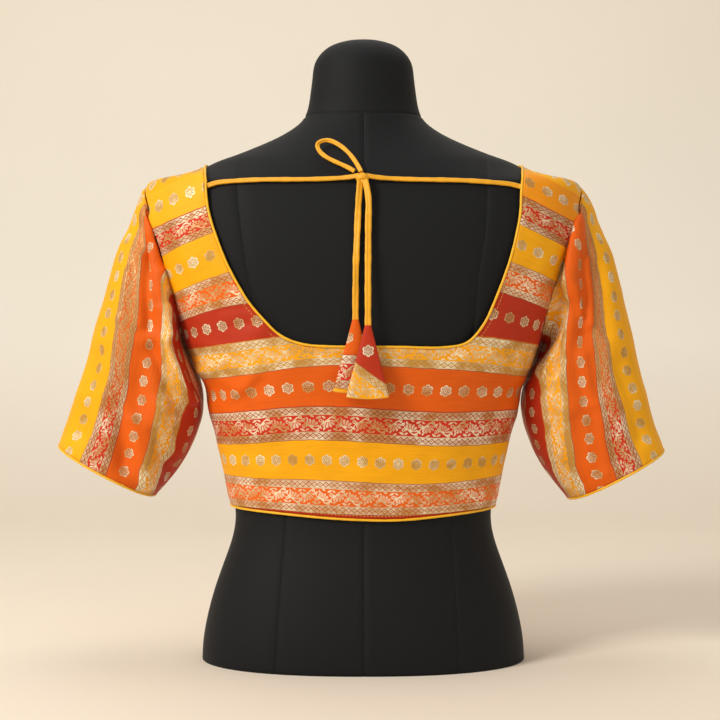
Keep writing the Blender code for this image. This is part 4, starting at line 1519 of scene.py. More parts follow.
BACK_PLACES = [-190.0, -150.0, -110.0, -60.0, 0.0, 60.0, 110.0, 150.0, 190.0]
BACK_EDGES = table(StripeEdge, [
    (-38, [144, 144, 146.0, 144.0, 141.5, 141.8, 144.0, 145, 145]),
    (-32, [151, 151, 152.4, 150.3, 147.4, 147.8, 150.6, 151.5, 151.5]),
    (0, [185, 184.5, 183, 182.4, 180.2, 178.0, 181.4, 184.5, 185]),
    (37, [213.5, 213.8, 215.5, 219.6, 218.2, 214.6, 214.4, 216, 216]),
    (69, [243.5, 244, 247, 251.8, 250.8, 246.8, 247.0, 248.6, 249]),
    (106, [277.5, 278, 281.6, 288.4, 290, 287.4, 284.6, 281, 278.5]),
    (138, [308.5, 309.8, 314, 318.6, 320.4, 320, 318, 314, 309.5]),
    (175, [328, 341, 348, 352, 356, 359, 362, 353, 341]),
    (207, [357.5, 370.5, 381, 385, 389, 391, 394, 383.5, 369.5]),
    (244, [396.5, 411.5, 425, 429, 431, 433, 436, 420.7, 404.6]),
    (276, [425.3, 439, 452, 456, 460, 463, 466, 449.4, 432.5]),
    (309, [460, 472, 483, 487, 490, 493, 496, 476, 460]),
    (336, [487, 499, 510, 514, 517, 520, 523, 503, 487]),
])
FRONT_PLACES = [0.0, 60.0, 110.0, 150.0, 190.0]
FRONT_EDGES = table(StripeEdge, [
    (-38, [143, 143, 144, 144, 144]), (-32, [149.5, 150, 151, 151, 151]),
    (0, [182, 183, 184.5, 185, 185]), (37, [218, 218, 216, 214, 214]),
    (69, [250, 250, 247, 245, 244]), (106, [288, 288, 283, 278, 278]),
    (138, [320, 320, 314, 309, 309]), (175, [357, 357, 351, 346, 346]),
    (207, [389, 389, 383, 378, 378]), (244, [426, 424, 418, 412, 408]),
    (276, [456, 454, 449, 443, 438]), (309, [489, 487, 482, 476, 471]),
    (336, [516, 514, 509, 503, 498]),
])


class SleeveStripes(NamedTuple):
    """Arc length from a sleeve's outer line to the edges of its stripes, at one station."""

    along: float
    yellow: float
    red_band: float
    orange: float
    gold_band: float
    red: float
    orange_band: float


SLEEVE_STRIPES = {
    Side.LEFT: table(SleeveStripes, [
        (0.00, -8, 46, 50, 112, 138, 174), (0.05, -6, 42, 52, 117, 141, 177),
        (0.13, 0, 41, 67, 124, 144, 180), (0.23, 4, 51, 81, 131, 149, 184),
        (0.33, 6, 62, 93, 135, 164, 196), (0.44, 7, 68, 96, 137, 174, 212),
        (0.56, 7, 72, 95, 134, 172, 212), (0.68, 7, 73.5, 97, 132, 166, 206),
        (0.81, 6, 70, 96.5, 130, 164, 202), (1.00, 6, 67, 96.5, 129, 158.5, 197),
    ]),
    Side.RIGHT: table(SleeveStripes, [
        (0.00, -8, 44, 50, 100, 185, 215), (0.05, -6, 42, 52, 108, 194, 226),
        (0.13, 0, 45, 61, 121, 204, 236), (0.21, 4, 53, 67, 129, 204, 234),
        (0.33, 6, 62, 77, 134, 184, 214), (0.43, 7, 68, 88.5, 134, 176, 210),
        (0.55, 7, 72.5, 94, 134, 172, 208), (0.68, 7, 73.5, 96.5, 134, 170, 206),
        (0.80, 6, 70, 96.5, 132, 168, 204), (1.00, 6, 67.5, 96.5, 131, 165, 202),
    ]),
}


# Half of what stays true to size round a row of rosettes, and the stripes' edges in the weave
ROSETTE_REACH = 7.0
STRIPE_EDGES = np.array([0.0, 37.0, 69.0, 106.0, 138.0, 175.0])
WEAVE_PERIOD = 207.0


def place_in_stripes(value: Array, edges: Array, weave: Array, first_row: float = 0.5) -> Array:
    """Place in the weave from a place among the edges of the stripes.

    A plain stripe keeps its true size round its row of rosettes, so that they stay round.

    Args:
        value: Place across the stripes, such as a height.
        edges: The edges' places, with one more axis in front for the edges.
        weave: The edges' places in the weave.
        first_row: Share of the stripe that starts at weave 0 where its rosettes lie.

    Returns:
        Millimetres across the weave.
    """
    total = np.full(value.shape, weave[0], float)
    total += np.minimum(value - edges[0], 0.0)
    for low, high, start, end in zip(edges[:-1], edges[1:], weave[:-1], weave[1:]):
        full = (end - start) / 2
        middle = low + (high - low) * (first_row if start == 0 else 0.5)
        true = np.minimum(ROSETTE_REACH, (high - low) * 0.3) * (full > 17)
        rest = full - true
        total += np.clip((value - low) / (middle - true - low), 0, 1) * rest
        total += np.clip(value - middle + true, 0, 2 * true)
        total += np.clip((value - middle - true) / (high - middle - true), 0, 1) * rest
    return total + np.maximum(value - edges[-1], 0.0)


# Rounds of the fit, and millimetres along a seam for a radian of its puckers
FIT_ROUNDS = 900
PUCKER_LENGTH = 2.6


def square_to_stripes(points: Array, across: Array, guess: Array) -> Array:
    """Millimetres along the stripes, counted square to them on the curved cloth.

    The steps between neighbouring points that fit this best are found by least squares.

    Args:
        points: Rows and columns of points on the cloth.
        across: Place across the weave at each point.
        guess: Rough millimetres along the stripes.

    Returns:
        Millimetres along the stripes at each point.
    """
    down, over = np.gradient(points, axis=0), np.gradient(points, axis=1)
    rise_down, rise_over = np.gradient(across, axis=0), np.gradient(across, axis=1)
    normal = np.cross(down, over)
    slope = np.cross(over, normal) * rise_down[..., None]
    slope = slope + np.cross(normal, down) * rise_over[..., None]
    way = np.cross(normal, slope)
    way /= np.linalg.norm(way, axis=-1, keepdims=True) + 1e-9
    run = np.sum(way * down, axis=-1) * np.gradient(guess, axis=0)
    run += np.sum(way * over, axis=-1) * np.gradient(guess, axis=1)
    way *= np.sign(run.sum())
    steps_down, steps_over = np.diff(points, axis=0), np.diff(points, axis=1)
    wanted_down = np.sum(steps_down * (way[1:] + way[:-1]), axis=-1) / 2
    wanted_over = np.sum(steps_over * (way[:, 1:] + way[:, :-1]), axis=-1) / 2
    long_down = np.linalg.norm(steps_down, axis=-1).mean()
    long_over = np.linalg.norm(steps_over, axis=-1).mean()
    weight_down, weight_over = long_over / long_down, long_down / long_over

    def gather(by_down: Array, by_over: Array) -> Array:
        """Net sum at each point of what its steps carry.

        Args:
            by_down: Amount carried by each step from row to row.
            by_over: Amount carried by each step from column to column.

        Returns:
            The sum at each point.
        """
        total = np.zeros_like(guess)
        total[1:] += by_down * weight_down
        total[:-1] -= by_down * weight_down
        total[:, 1:] += by_over * weight_over
        total[:, :-1] -= by_over * weight_over
        return total

    result = guess.astype(float).copy()
    short = gather(wanted_down - np.diff(result, axis=0), wanted_over - np.diff(result, axis=1))
    heading = short.copy()
    power = np.sum(short * short)
    for _ in range(FIT_ROUNDS):
        pull = gather(np.diff(heading, axis=0), np.diff(heading, axis=1))
        step = power / (np.sum(heading * pull) + 1e-30)
        result += step * heading
        short -= step * pull
        fresh = np.sum(short * short)
        heading = short + heading * fresh / (power + 1e-30)
        power = fresh
    return result


@dataclass
class Bodice:
    """The back and the two fronts, cut from silk brocade with crosswise stripes.

    Attributes:
        rows: Rows of points from the neck to the outer edge.
        hem: Columns along half the hem.
        side: Columns up the side seam.
        back_armhole: Columns of the back's armhole.
        front_armhole: Columns of the front's armhole.
        seam_spread: How far each panel stands back from its seams.
        centre_gap: Gap between the two fronts.
        hem_fade: Height above the hem over which the creases come in.
        deepest: Least height of a crease, which keeps the cloth off the form.
        pucker: Height of the hem's puckers.
        overhang: How far the stripes' edges are read beyond their last places.
        highlight_start: Place across the weave where the shoulder's painted highlight starts.
        highlight_blur: Width over which it comes in.
        right_highlight_loss: How much less it shows on the wearer's right, which is lit less.
    """

    material: Material
    rows: int = 64
    hem: int = 44
    side: int = 26
    back_armhole: int = 44
    front_armhole: int = 52
    seam_spread: float = 0.22
    centre_gap: float = 0.5
    hem_fade: float = 16.0
    deepest: float = -1.2
    pucker: float = 0.35
    overhang: float = 14.0
    highlight_start: float = 270.0
    highlight_blur: float = 4.0
    right_highlight_loss: float = 0.4

    def neck_line(self, points: Sequence[NeckPoint], front: bool) -> Array:
        """Neckline from the centre to the shoulder seam.

        Args:
            points: Its points on the wearer's right.
            front: True for the front's neckline.

        Returns:
            Angles and heights.
        """
        line = [(SHAPE.angle_for_half_width(p.half_width, p.z, front), p.z) for p in points]
        if front:
            line.append((90.0, FRONT_RIDGE_Z))
        line.append(SHOULDER_NECK)
        return smooth_line(line, 160)

    def side_and_armhole(self, side: Side, front: bool) -> Array:
        """A panel's edge from the side of its hem up to the tip of the shoulder.

        Args:
            side: The wearer's side.
            front: True for a front.

        Returns:
            Angles and heights.
        """
        hem_z = SHAPE.hem_height(side.value * 90.0)[0]
        line = [(side.value * 90.0, z)
                for z in np.linspace(hem_z, SHAPE.armhole_bottom, self.side + 1)[:-1]]
        count = self.front_armhole if front else self.back_armhole
        for turn in np.linspace(180 if front else -180, SHOULDER_TURN, count + 1):
            line.append(SHAPE.armhole_place(turn, side))
        return np.array(line)

    def ruled(self, inner: Array, outer: Array) -> Array:
        """Grid of straight rows of angles and heights between two edges."""
        steps = np.linspace(0, 1, self.rows + 1)[:, None, None]
        return inner * (1 - steps) + outer * steps

    def half_back(self, side: Side) -> Array:
        """Half the back as a grid, from the neck outwards.

        Args:
            side: The wearer's side.

        Returns:
            Angles and heights.
        """
        line = self.neck_line(BACK_NECKS[side], False)
        solid = SHAPE.cloth_point(line[:, 0], line[:, 1])
        travelled = lengths_along(solid) / lengths_along(solid)[-1]
        corner, underarm = NECK_CORNER_STARTS[side], NECK_UNDERARM_STARTS[side]
        stops = np.concatenate([
            np.linspace(0, corner, self.hem + 1),
            np.linspace(corner, underarm, self.side + 1)[1:],
            np.linspace(underarm, 1, self.back_armhole + 1)[1:],
        ])
        inner = read_along(line, travelled, stops) * [side.value, 1.0]
        angles = side.value * np.linspace(0, 90, self.hem + 1)
        hem = np.stack([angles, SHAPE.hem_height(angles)], axis=1)
        return self.ruled(inner, np.concatenate([hem[:-1], self.side_and_armhole(side, False)]))

    def half_front(self, side: Side) -> Array:
        """A front as a grid, from its centre and neck outwards.

        Args:
            side: The wearer's side.

        Returns:
            Angles and heights.
        """
        neck = evenly(self.neck_line(FRONT_NECK, True), self.front_armhole + 1) * [side.value, 1.0]
        hem_z = SHAPE.hem_height(side.value * 180.0)[0]
        rises = np.linspace(hem_z, neck[0, 1], self.side + 1)[:-1]
        centre = [(side.value * 180.0, z) for z in rises]
        grid = self.ruled(np.concatenate([centre, neck]), self.side_and_armhole(side, True))
        grid[:, 0, 1] = SHAPE.hem_height(grid[:, 0, 0])
        return grid

    def dressed(self, grid: Array) -> Array:
        """Cloth of a panel, with creases and the cloth's unevenness.

        Args:
            grid: Angles and heights.

        Returns:
            A point for each place of the grid.
        """
        points = SHAPE.cloth_point(grid[..., 0], grid[..., 1])
        lift = SHAPE.fold_height(points, CREASES) + SHAPE.ripple(points)
        normals = SHAPE.form_normal(grid[..., 0], grid[..., 1])
        hem = SHAPE.hem_height(grid[..., 0].ravel()).reshape(grid.shape[:-1])
        above_hem = np.clip((grid[..., 1] - hem) / self.hem_fade, 0, 1)
        wave = np.sin(SHAPE.girth_to(grid[..., 0], grid[..., 1]) / PUCKER_LENGTH)
        pucker = self.pucker * wave * (1 - above_hem)**2
        return points + normals * (np.maximum(lift * above_hem, self.deepest) + pucker)[..., None]

    def weave_places(self, grid: Array, places: Sequence[float], edges: Sequence[StripeEdge],
                     centre: float) -> Array:
        """Millimetres along and across the weave for a panel's grid.

        Args:
            grid: Angles and heights.
            places: Distances from the centre at which the edges' heights are given.
            edges: Edges of the stripes from the hem upwards.
            centre: Angle that the millimetres along the weave start from.

        Returns:
            Along, across and the share of the shoulder's painted highlight, for each point.
        """
        angle, z = grid[..., 0], grid[..., 1]
        x = SHAPE.form_point(angle, z)[..., 0]
        if centre:
            x = np.abs(x)
        x = np.clip(x, places[0] - self.overhang, places[-1] + self.overhang)
        heights = np.array([edge.heights for edge in edges])
        curves = natural_spline(np.array(places), heights.T, x.ravel())
        curves = curves.T.reshape(len(edges), *x.shape)
        across = place_in_stripes(z, curves, np.array([edge.weave for edge in edges]))
        if centre:
            side = np.sign(angle)
            whole = SHAPE.girth_to(side * 180.0, z) * side
            along = side * (whole - np.abs(SHAPE.girth_to(angle, z)))
        else:
            along = SHAPE.girth_to(angle, z)
        # Painted highlight on the stripe below the shoulder, less on the wearer's right
        highlight_and_fade = np.clip((across - self.highlight_start) / self.highlight_blur, 0, 1)
        highlight_and_fade = highlight_and_fade * (1.0 - self.right_highlight_loss * (angle > 0) * (centre == 0))
        points = SHAPE.cloth_point(angle, z)
        fitted = square_to_stripes(points, across, along)
        middle = grid.shape[1] // 2
        fitted += (along - fitted)[:, middle].mean()
        return np.stack([fitted, across, highlight_and_fade], axis=-1)

    def build(self) -> list[Piece]:
        """Build the three panels."""
        halves = [self.half_back(side) for side in Side]
        grid = np.concatenate([halves[0][:, :0:-1], halves[1]], axis=1)
        points = self.dressed(grid)
        points[:, [0, -1], 1] -= self.seam_spread
        maker = MeshMaker("back_panel")
        cut = self.weave_places(grid, BACK_PLACES, BACK_EDGES, 0.0)
        maker.add_wall(points, cut, True, SHAPE.wall)
        back = maker.build(self.material)
        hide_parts("back")
        pieces = [back]
        for side in Side:
            grid = self.half_front(side)
            points = self.dressed(grid)
            points[:, -1, 1] += self.seam_spread
            points[0, :self.side + 1, 0] = side.value * self.centre_gap / 2
            maker = MeshMaker(f"front_panel_{side.word}")
            cut = self.weave_places(grid, FRONT_PLACES, FRONT_EDGES, 180.0)
            maker.add_wall(points, cut, side is Side.LEFT, SHAPE.wall)
            front = maker.build(self.material)
            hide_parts(f"front_{side.word}")
            pieces.append(front)
        return pieces


@dataclass
class Sleeve:
    """A set-in sleeve, flared to the elbow, with stripes that run along it.

    Attributes:
        side: Wearer's side.
        material: The brocade.
        rings: Rings from the armhole to the cuff.
        around: Points round a ring.
        crowding: How much closer the rings lie at the armhole.
        seam_offset: Distance from the panels' edge to the first ring.
        blend: Share of the length over which the armhole's shape turns into the sleeve's.
        body_gap: Least gap between the sleeve and the body.
        square: Squareness of the sleeve's section.
        slide: How far the motifs are slid towards the armhole.
        settle: Share of the length over which folds and the body's gap come in.
        fine_start: How fast the creases come in at the armhole.
        fine_end: How fast they go out at the cuff, and their share that is left there.
        pucker: Height of the puckers at the armhole seam.
        pucker_fade: How fast the puckers go out.
        own_length: How far the motifs follow each line's own length, not the mean.
        first_row: Share of the top stripe above its row of rosettes.
        faded_until: Share of the length where the red band's fade ends.
        fade_blur: Share of the length over which it ends.
    """

    side: Side
    material: Material
    rings: int = 120
    around: int = 168
    crowding: float = 1.15
    seam_offset: float = 1.2
    blend: float = 0.10
    body_gap: float = 3.6
    square: float = 2.2
    slide: float = 0.0
    settle: float = 0.06
    fine_start: float = 12.0
    fine_end: tuple[float, float] = (14.0, 0.25)
    pucker: float = 0.2
    pucker_fade: float = 60.0
    own_length: float = 0.35
    first_row: float = 0.71
    faded_until: float = 0.82
    fade_blur: float = 0.24

    def ring_turns(self) -> Array:
        """Turns of a ring's points, from the underarm round the front and the back."""
        return np.linspace(-180, 180, self.around + 1)

    def armhole(self) -> tuple[Array, Array]:
        """Armhole seam as points, and the direction that leads off the panels at each."""
        places = np.array([SHAPE.armhole_place(turn, self.side) for turn in self.ring_turns()])
        points = SHAPE.cloth_point(places[:, 0], places[:, 1])
        loop = points[:-1]
        along = np.roll(loop, -1, axis=0) - np.roll(loop, 1, axis=0)
        along = np.concatenate([along, along[:1]])
        normals = SHAPE.form_normal(places[:, 0], places[:, 1])
        return points, unit(self.side.value * np.cross(along, normals))

    def stations(self) -> Array:
        """Share of the sleeve's length at each ring, closer together at the armhole."""
        return np.linspace(0, 1, self.rings + 1)**self.crowding

    def rings_of_points(self) -> Array:
        """Rings of the sleeve's outer face, from the armhole to the cuff."""
        sign = self.side.value
        rows = np.array(SLEEVE_ROWS[self.side])
        stations = self.stations()
        values = natural_spline(rows[:, 0], rows[:, 1:], stations)
        seam, off_panel = self.armhole()
        turns = np.radians(self.ring_turns())
        outward, sideways = np.cos(turns), np.sin(turns)
        spread = np.abs(outward)**self.square + np.abs(sideways)**self.square
        scale = spread**(-1 / self.square)
        rings = []
        for station, (outer_x, outer_z, inner_x, inner_z, back, front) in zip(stations, values):
            outer = np.array([sign * outer_x, 0.0, outer_z])
            inner = np.array([sign * inner_x, 0.0, inner_z])
            depth = np.where(sideways < 0, back, front)
            ring = (outer + inner) / 2 + np.outer(outward * scale, (outer - inner) / 2)
            ring[:, 1] = sideways * scale * depth
            blend = min(station / self.blend, 1.0)
            blend = blend * blend * (3 - 2 * blend)
            rings.append(ring * blend + (seam + off_panel * self.seam_offset) * (1 - blend))
        rings = np.array(rings)
        normals = grid_normals(rings, sign)
        seam_normals = (normals[:, 0] + normals[:, -1]) / 2
        normals[:, 0] = normals[:, -1] = seam_normals
        share = np.linspace(0, 1, self.rings + 1)[:, None]
        fine = SHAPE.fold_height(rings, CREASES) + SHAPE.ripple(rings)
        fine = fine * np.clip(share * self.fine_start, 0, 1)
        fine = fine * np.clip((1 - share) * self.fine_end[0] + self.fine_end[1], 0, 1)
        folded = SHAPE.fold_height(rings, FOLDS) * np.clip(stations[:, None] / self.settle, 0, 1)
        lifted = rings + normals * (folded + fine)[..., None]
        y, z = lifted[1:, :, 1], lifted[1:, :, 2]
        gap = self.body_gap * np.clip(stations[1:, None] / self.settle, 0.15, 1)
        body = SHAPE.cloth_point(SHAPE.angle_for_depth(y, z), z)[..., 0] + gap
        lifted[1:, :, 0] = sign * np.maximum(sign * lifted[1:, :, 0], body)
        ease_in = np.exp(-share * self.pucker_fade)
        pucker = self.pucker * np.sin(lengths_along(seam) / PUCKER_LENGTH)[None, :] * ease_in
        lifted[1:] += (normals * pucker[..., None])[1:]
        lifted[0] = rings[0]
        return lifted

    def weave_places(self, rings: Array) -> Array:
        """Places in the weave for the rings.

        Args:
            rings: The rings of points.

        Returns:
            Along, across and, below 0, the red band's fade for each point.
        """
        steps = np.linalg.norm(np.diff(rings, axis=1), axis=2)
        arc = np.concatenate([np.zeros((len(rings), 1)), np.cumsum(steps, axis=1)], axis=1)
        outer = arc[:, self.around // 2][:, None]
        arc = outer - arc
        downs = np.linalg.norm(np.diff(rings, axis=0), axis=2)
        along = np.concatenate([np.zeros((1, rings.shape[1])), np.cumsum(downs, axis=0)])
        level = along.mean(axis=1, keepdims=True)
        along = along * self.own_length + level * (1 - self.own_length)
        rows = np.array(SLEEVE_STRIPES[self.side])
        stations = self.stations()
        edges = natural_spline(rows[:, 0], rows[:, 1:], stations)
        lower = STRIPE_EDGES - WEAVE_PERIOD
        upper = STRIPE_EDGES[:2] + WEAVE_PERIOD
        after = edges[:, -1:] + (upper - STRIPE_EDGES[-1])
        places = np.concatenate([edges[:, :1] + lower, edges, after], axis=1).T[:, :, None]
        weave = np.concatenate([lower, STRIPE_EDGES, upper])
        across = place_in_stripes(arc, places * np.ones_like(arc), weave, self.first_row)
        along = square_to_stripes(rings, across, along) + self.slide
        left = (self.faded_until - stations[:, None]) / self.fade_blur
        fade = np.clip(left, 0, 1) + 0 * along
        return np.stack([along, across, -fade], axis=-1)

    def build(self) -> tuple[Piece, Array]:
        """Build the sleeve, and return it with its rings."""
        rings = self.rings_of_points()
        maker = MeshMaker(f"sleeve_cloth_{self.side.word}")
        maker.add_wall(rings, self.weave_places(rings), self.side is Side.RIGHT, SHAPE.wall)
        piece = maker.build(self.material)
        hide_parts(f"sleeve_{self.side.word}")
        return piece, rings


def beside_edge(places: Array, way: float) -> tuple[Array, Array, Array]:
    """A panel's edge and the directions at it.

    Args:
        places: Angles and heights along the edge.
        way: 1 or -1, for the side of the edge.

    Returns:
        Points of the edge, and the directions off to its side and out of the cloth.
    """
    edge = SHAPE.cloth_point(places[:, 0], places[:, 1])
    normals = SHAPE.form_normal(places[:, 0], places[:, 1])
    return edge, unit(way * np.cross(normals, np.gradient(edge, axis=0))), normals


@dataclass
class Piping:
    """Rolled piping of bias-cut satin along the blouse's edges.

    Attributes:
        material: The satin.
        radius: Radius of the roll.
        gap: Gap between the roll and the cloth's cut edge.
        sink: How far the roll sits below the cloth's face.
        points_round: Points round the roll.
    """

    material: Material
    radius: float = 1.2
    gap: float = 0.1
    sink: float = 0.35
    points_round: int = 14

    def along_panel(self, places: Array, way: float) -> tuple[Array, Array]:
        """Middle line of the piping beside a panel's edge.

        Args:
            places: Angles and heights along the edge.
            way: 1 or -1, for the side of the edge.

        Returns:
            The line, and the outward direction at each of its points.
        """
        edge, away, normals = beside_edge(places, way)
        return edge + away * (self.radius + self.gap) - normals * self.sink, normals

    def roll(self, name: str, line: Array, facing: Array, closed: bool,
             node: str) -> Piece:
        """Build one roll.

        Args:
            name: Name of the piece.
            line: Middle line.
            facing: Outward direction at each point of the line.
            closed: True where the line is a loop.
            node: Solid that it stands for.

        Returns:
            The piece.
        """
        along = lengths_along(line)
        turns = turns_round(self.points_round)
        outline = round_outline(turns) * self.radius
        swell = 1 + 0.05 * np.sin(along / 3.1) + 0.04 * np.sin(along / 1.37 + 1.0)
        rings = tube_rings(line, facing, outline[None] * swell[:, None, None], closed=closed)
        maker = MeshMaker(name)
        maker.add_tube(rings, turns * self.radius, along, closed)
        piece = maker.build(self.material)
        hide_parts(node)
        return piece


@dataclass
class RunningStitches:
    """Running stitches that lie on a panel beside its piping.

    Attributes:
        material: The thread.
        pitch: Distance from one stitch to the next.
        length: Length of the part that shows.
        radius: Radius of the thread.
        rise: Height of the line of stitches above the cloth.
        neck_inset: Distance of the stitches from the neck's edge.
        hem_inset: Distance of the stitches from the hem's edge.
        bow: Thickness and height of a stitch from end to end, as shares.
    """

    material: Material
    pitch: float = 3.4
    length: float = 2.3
    radius: float = 0.24
    rise: float = 0.35
    neck_inset: float = 3.4
    hem_inset: float = 2.6
    bow: tuple[float, ...] = (0.25, 0.8, 1.0, 0.8, 0.25)

    def sew(self, name: str, lines: Sequence[tuple[Array, Array]]) -> Piece:
        """Build the stitches along lines on the cloth.

        Args:
            name: Name of the piece.
            lines: Pairs of points and outward directions.

        Returns:
            The piece.
        """
        maker = MeshMaker(name)
        turns = turns_round(6)
        outline = round_outline(turns)
        bow = np.array(self.bow)
        for line, facing in lines:
            travelled = lengths_along(line)
            for start in np.arange(self.pitch, travelled[-1] - self.pitch, self.pitch):
                at = np.linspace(start, start + self.length, len(bow))
                place = read_along(line, travelled, at)
                way = read_along(facing, travelled, at)
                place = place + way * ((bow - 0.7) * self.radius * 1.4)[:, None]
                rings = tube_rings(place, way, outline[None] * (self.radius * bow)[:, None, None])
                maker.add_tube(rings, turns, at, False)
        piece = maker.build(self.material)
        return piece


# The tie and its cloth drops

class RoutePoint(NamedTuple):
    """Point of the tie's route over the form's back."""

    x: float
    z: float
    lift: float


class TailPoint(NamedTuple):
    """Point of a hanging tail, with its twist in degrees."""

    x: float
    y: float
    z: float
    twist: float


@dataclass
class Tie:
    """The dori: a flat sewn tube of satin, tied in a half bow at the nape.

    Attributes:
        material: The satin.
        knot_place: Middle of the knot.
        knot_radii: Half sizes of the knot.
        left: Route from the left of the neck to the knot.
        right: Route from the right of the neck to the knot.
        loop: Route of the bow loop.
        tail_left: Left tail from the knot to its cloth drop.
        tail_right: Right tail from the knot to its cloth drop.
        groove: Depth of the groove along each face, as a share of half the thickness.
        side_size: Width and thickness from the neck to the knot.
        loop_size: Width and thickness of the bow loop.
        tail_size: Width and thickness of the tails.
    """

    material: Material
    knot_place: tuple[float, float, float] = (-1.0, -89.6, 466.0)
    knot_radii: tuple[float, float, float] = (5.6, 4.2, 5.2)
    groove: float = 0.42
    side_size: tuple[float, float] = (4.4, 3.0)
    loop_size: tuple[float, float] = (4.2, 3.0)
    tail_size: tuple[float, float] = (6.0, 2.9)
    left: Sequence[RoutePoint] = table(RoutePoint, [
        (-147.4, 459.4, 3.2), (-141, 461.6, 3.0), (-128, 463.2, 2.9), (-96, 464.4, 2.8),
        (-60, 464.4, 2.8), (-28, 465.2, 3.0), (-6.8, 465.8, 6.4), (-4.0, 466.0, 7.2),
    ])
    right: Sequence[RoutePoint] = table(RoutePoint, [
        (148.2, 458.6, 3.2), (142, 460.2, 3.0), (128, 461.8, 2.9), (96, 463.6, 2.8),
        (60, 464.2, 2.8), (28, 465.0, 3.0), (4.9, 465.8, 6.4), (2.0, 466.0, 7.2),
    ])
    loop: Sequence[RoutePoint] = table(RoutePoint, [
        (-2.2, 468.1, 9.4), (-8.2, 479.4, 8.4), (-16.0, 489.2, 8.6), (-26.4, 497.6, 8.6),
        (-36.4, 500.2, 8.2), (-42.4, 496.8, 8.0), (-41.8, 490.4, 7.6), (-34.2, 483.4, 6.8),
        (-22.6, 478.0, 5.8), (-14.4, 474.4, 5.2), (-8.4, 471.0, 5.4),
    ])
    tail_left: Sequence[TailPoint] = table(TailPoint, [
        (-3.0, -90.6, 464.0, 30), (-4.4, -94.4, 446.0, 18), (-5.4, -99.0, 425.0, -4),
        (-6.4, -102.0, 400.0, -16), (-7.2, -103.6, 372.0, 24), (-7.4, -104.6, 346.0, 8),
        (-7.4, -105.0, 331.0, 0),
    ])
    tail_right: Sequence[TailPoint] = table(TailPoint, [
        (1.4, -92.4, 464.4, -34), (4.6, -96.0, 447.0, -14), (4.6, -100.0, 425.0, 4),
        (4.4, -104.2, 400.0, 6), (4.2, -107.0, 372.0, 0), (4.2, -109.2, 346.0, 4),
        (4.2, -110.4, 325.6, 0),
    ])

    def on_back(self, point: RoutePoint) -> Array:
        """Point of a route that lies over the form's back.

        Args:
            point: The route's point.

        Returns:
            The point in space.
        """
        angle = angle_where(
            lambda turn: SHAPE.form_point(turn, point.z)[..., 0], point.x, -BACK_TURN, BACK_TURN)
        return SHAPE.form_point(angle, point.z) + SHAPE.form_normal(angle, point.z) * point.lift

    def strand(self, name: str, line: Array, size: tuple[float, float],
               twists: Array) -> tuple[Piece, Array]:
        """Build one stretch of the tie.

        Args:
            name: Name of the piece and of the solid that it stands for.
            line: Middle line.
            size: Width and thickness of the flat tube.
            twists: Its twist in degrees along the line.

        Returns:
            The piece and its middle line.
        """
        along = lengths_along(line)
        outline = ribbon_outline(*size, self.groove)
        swell = 1 + 0.04 * np.sin(along / 5.3) + 0.03 * np.sin(along / 2.3)
        facing = np.tile([0.0, -1.0, 0.0], (len(line), 1))
        rings = tube_rings(line, facing, outline[None] * swell[:, None, None], twists)
        maker = MeshMaker(f"tie_{name}")
        around = np.linspace(0, 2 * size[0], len(outline))
        maker.add_tube(rings, around, along, False)
        piece = maker.build(self.material)
        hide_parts(name)
        return piece, line

    def knot(self) -> Piece:
        """Build the knot: a small bundle with the wraps of the tie over it."""
        up = np.linspace(-1, 1, 41)[1:-1] * math.pi / 2
        around, rise = np.meshgrid(turns_round(56), up)
        wraps = np.cos(3.0 * (rise + 0.9 * np.sin(around)) + 0.8)
        radius = 1 + 0.10 * wraps - 0.16 * np.exp(-((wraps + 1) / 0.25)**2)
        radii = np.array(self.knot_radii)
        points = np.stack([
            np.cos(rise) * np.cos(around), np.cos(rise) * np.sin(around), np.sin(rise)
        ], axis=-1) * radius[..., None] * radii + np.array(self.knot_place)
        maker = MeshMaker("tie_knot")
        cut = np.stack([around * 5, rise * 5, 0 * rise], axis=-1)
        numbers = maker.add_points(points, cut)
        maker.add_faces(numbers, True, False)
        maker.add_cap(numbers[0], True)
        maker.add_cap(numbers[-1], False)
        piece = maker.build(self.material)
        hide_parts("dori_knot")
        return piece

    def build(self, drops: dict[Side, list[Piece]]) -> None:
        """Build the tie: its knot and its stretches.

        Args:
            drops: Pieces of the cloth drop at each tail's end; not used.
        """
        knot = self.knot()
        for name, route, sway in (("dori_left", self.left, 1.0), ("dori_right", self.right, -1.0)):
            line = smooth_line([self.on_back(point) for point in route], 70)
            twists = sway * 26 * np.sin(np.linspace(0, 2.6, len(line)))
            piece, line = self.strand(name, line, self.side_size, twists)
            line[0] * MM
            line * MM
        line = smooth_line([self.on_back(point) for point in self.loop], 90)
        twists = 30 * np.sin(np.linspace(0, 3.1, len(line)))
        piece, line = self.strand("dori_loop", line, self.loop_size, twists)
        line[0] * MM
        line * MM
        for side, route in ((Side.LEFT, self.tail_left), (Side.RIGHT, self.tail_right)):
            smooth = smooth_line(route, 110)
            line, twists = smooth[:, :3], smooth[:, 3]
            piece, line = self.strand(f"dori_tail_{side.word}", line, self.tail_size, twists)
            line[0] * MM
            line * MM


class DropRow(NamedTuple):
    """Half width and half thickness of a cloth drop at a share of its height."""

    down: float
    half_width: float
    half_thickness: float


DROP_ROWS = table(DropRow, [
    (0.00, 3.0, 2.2), (0.20, 6.4, 2.5), (0.45, 10.8, 2.7), (0.70, 15.2, 2.8), (0.90, 18.6, 2.7),
    (0.985, 19.6, 2.3), (1.00, 19.2, 1.4),
])


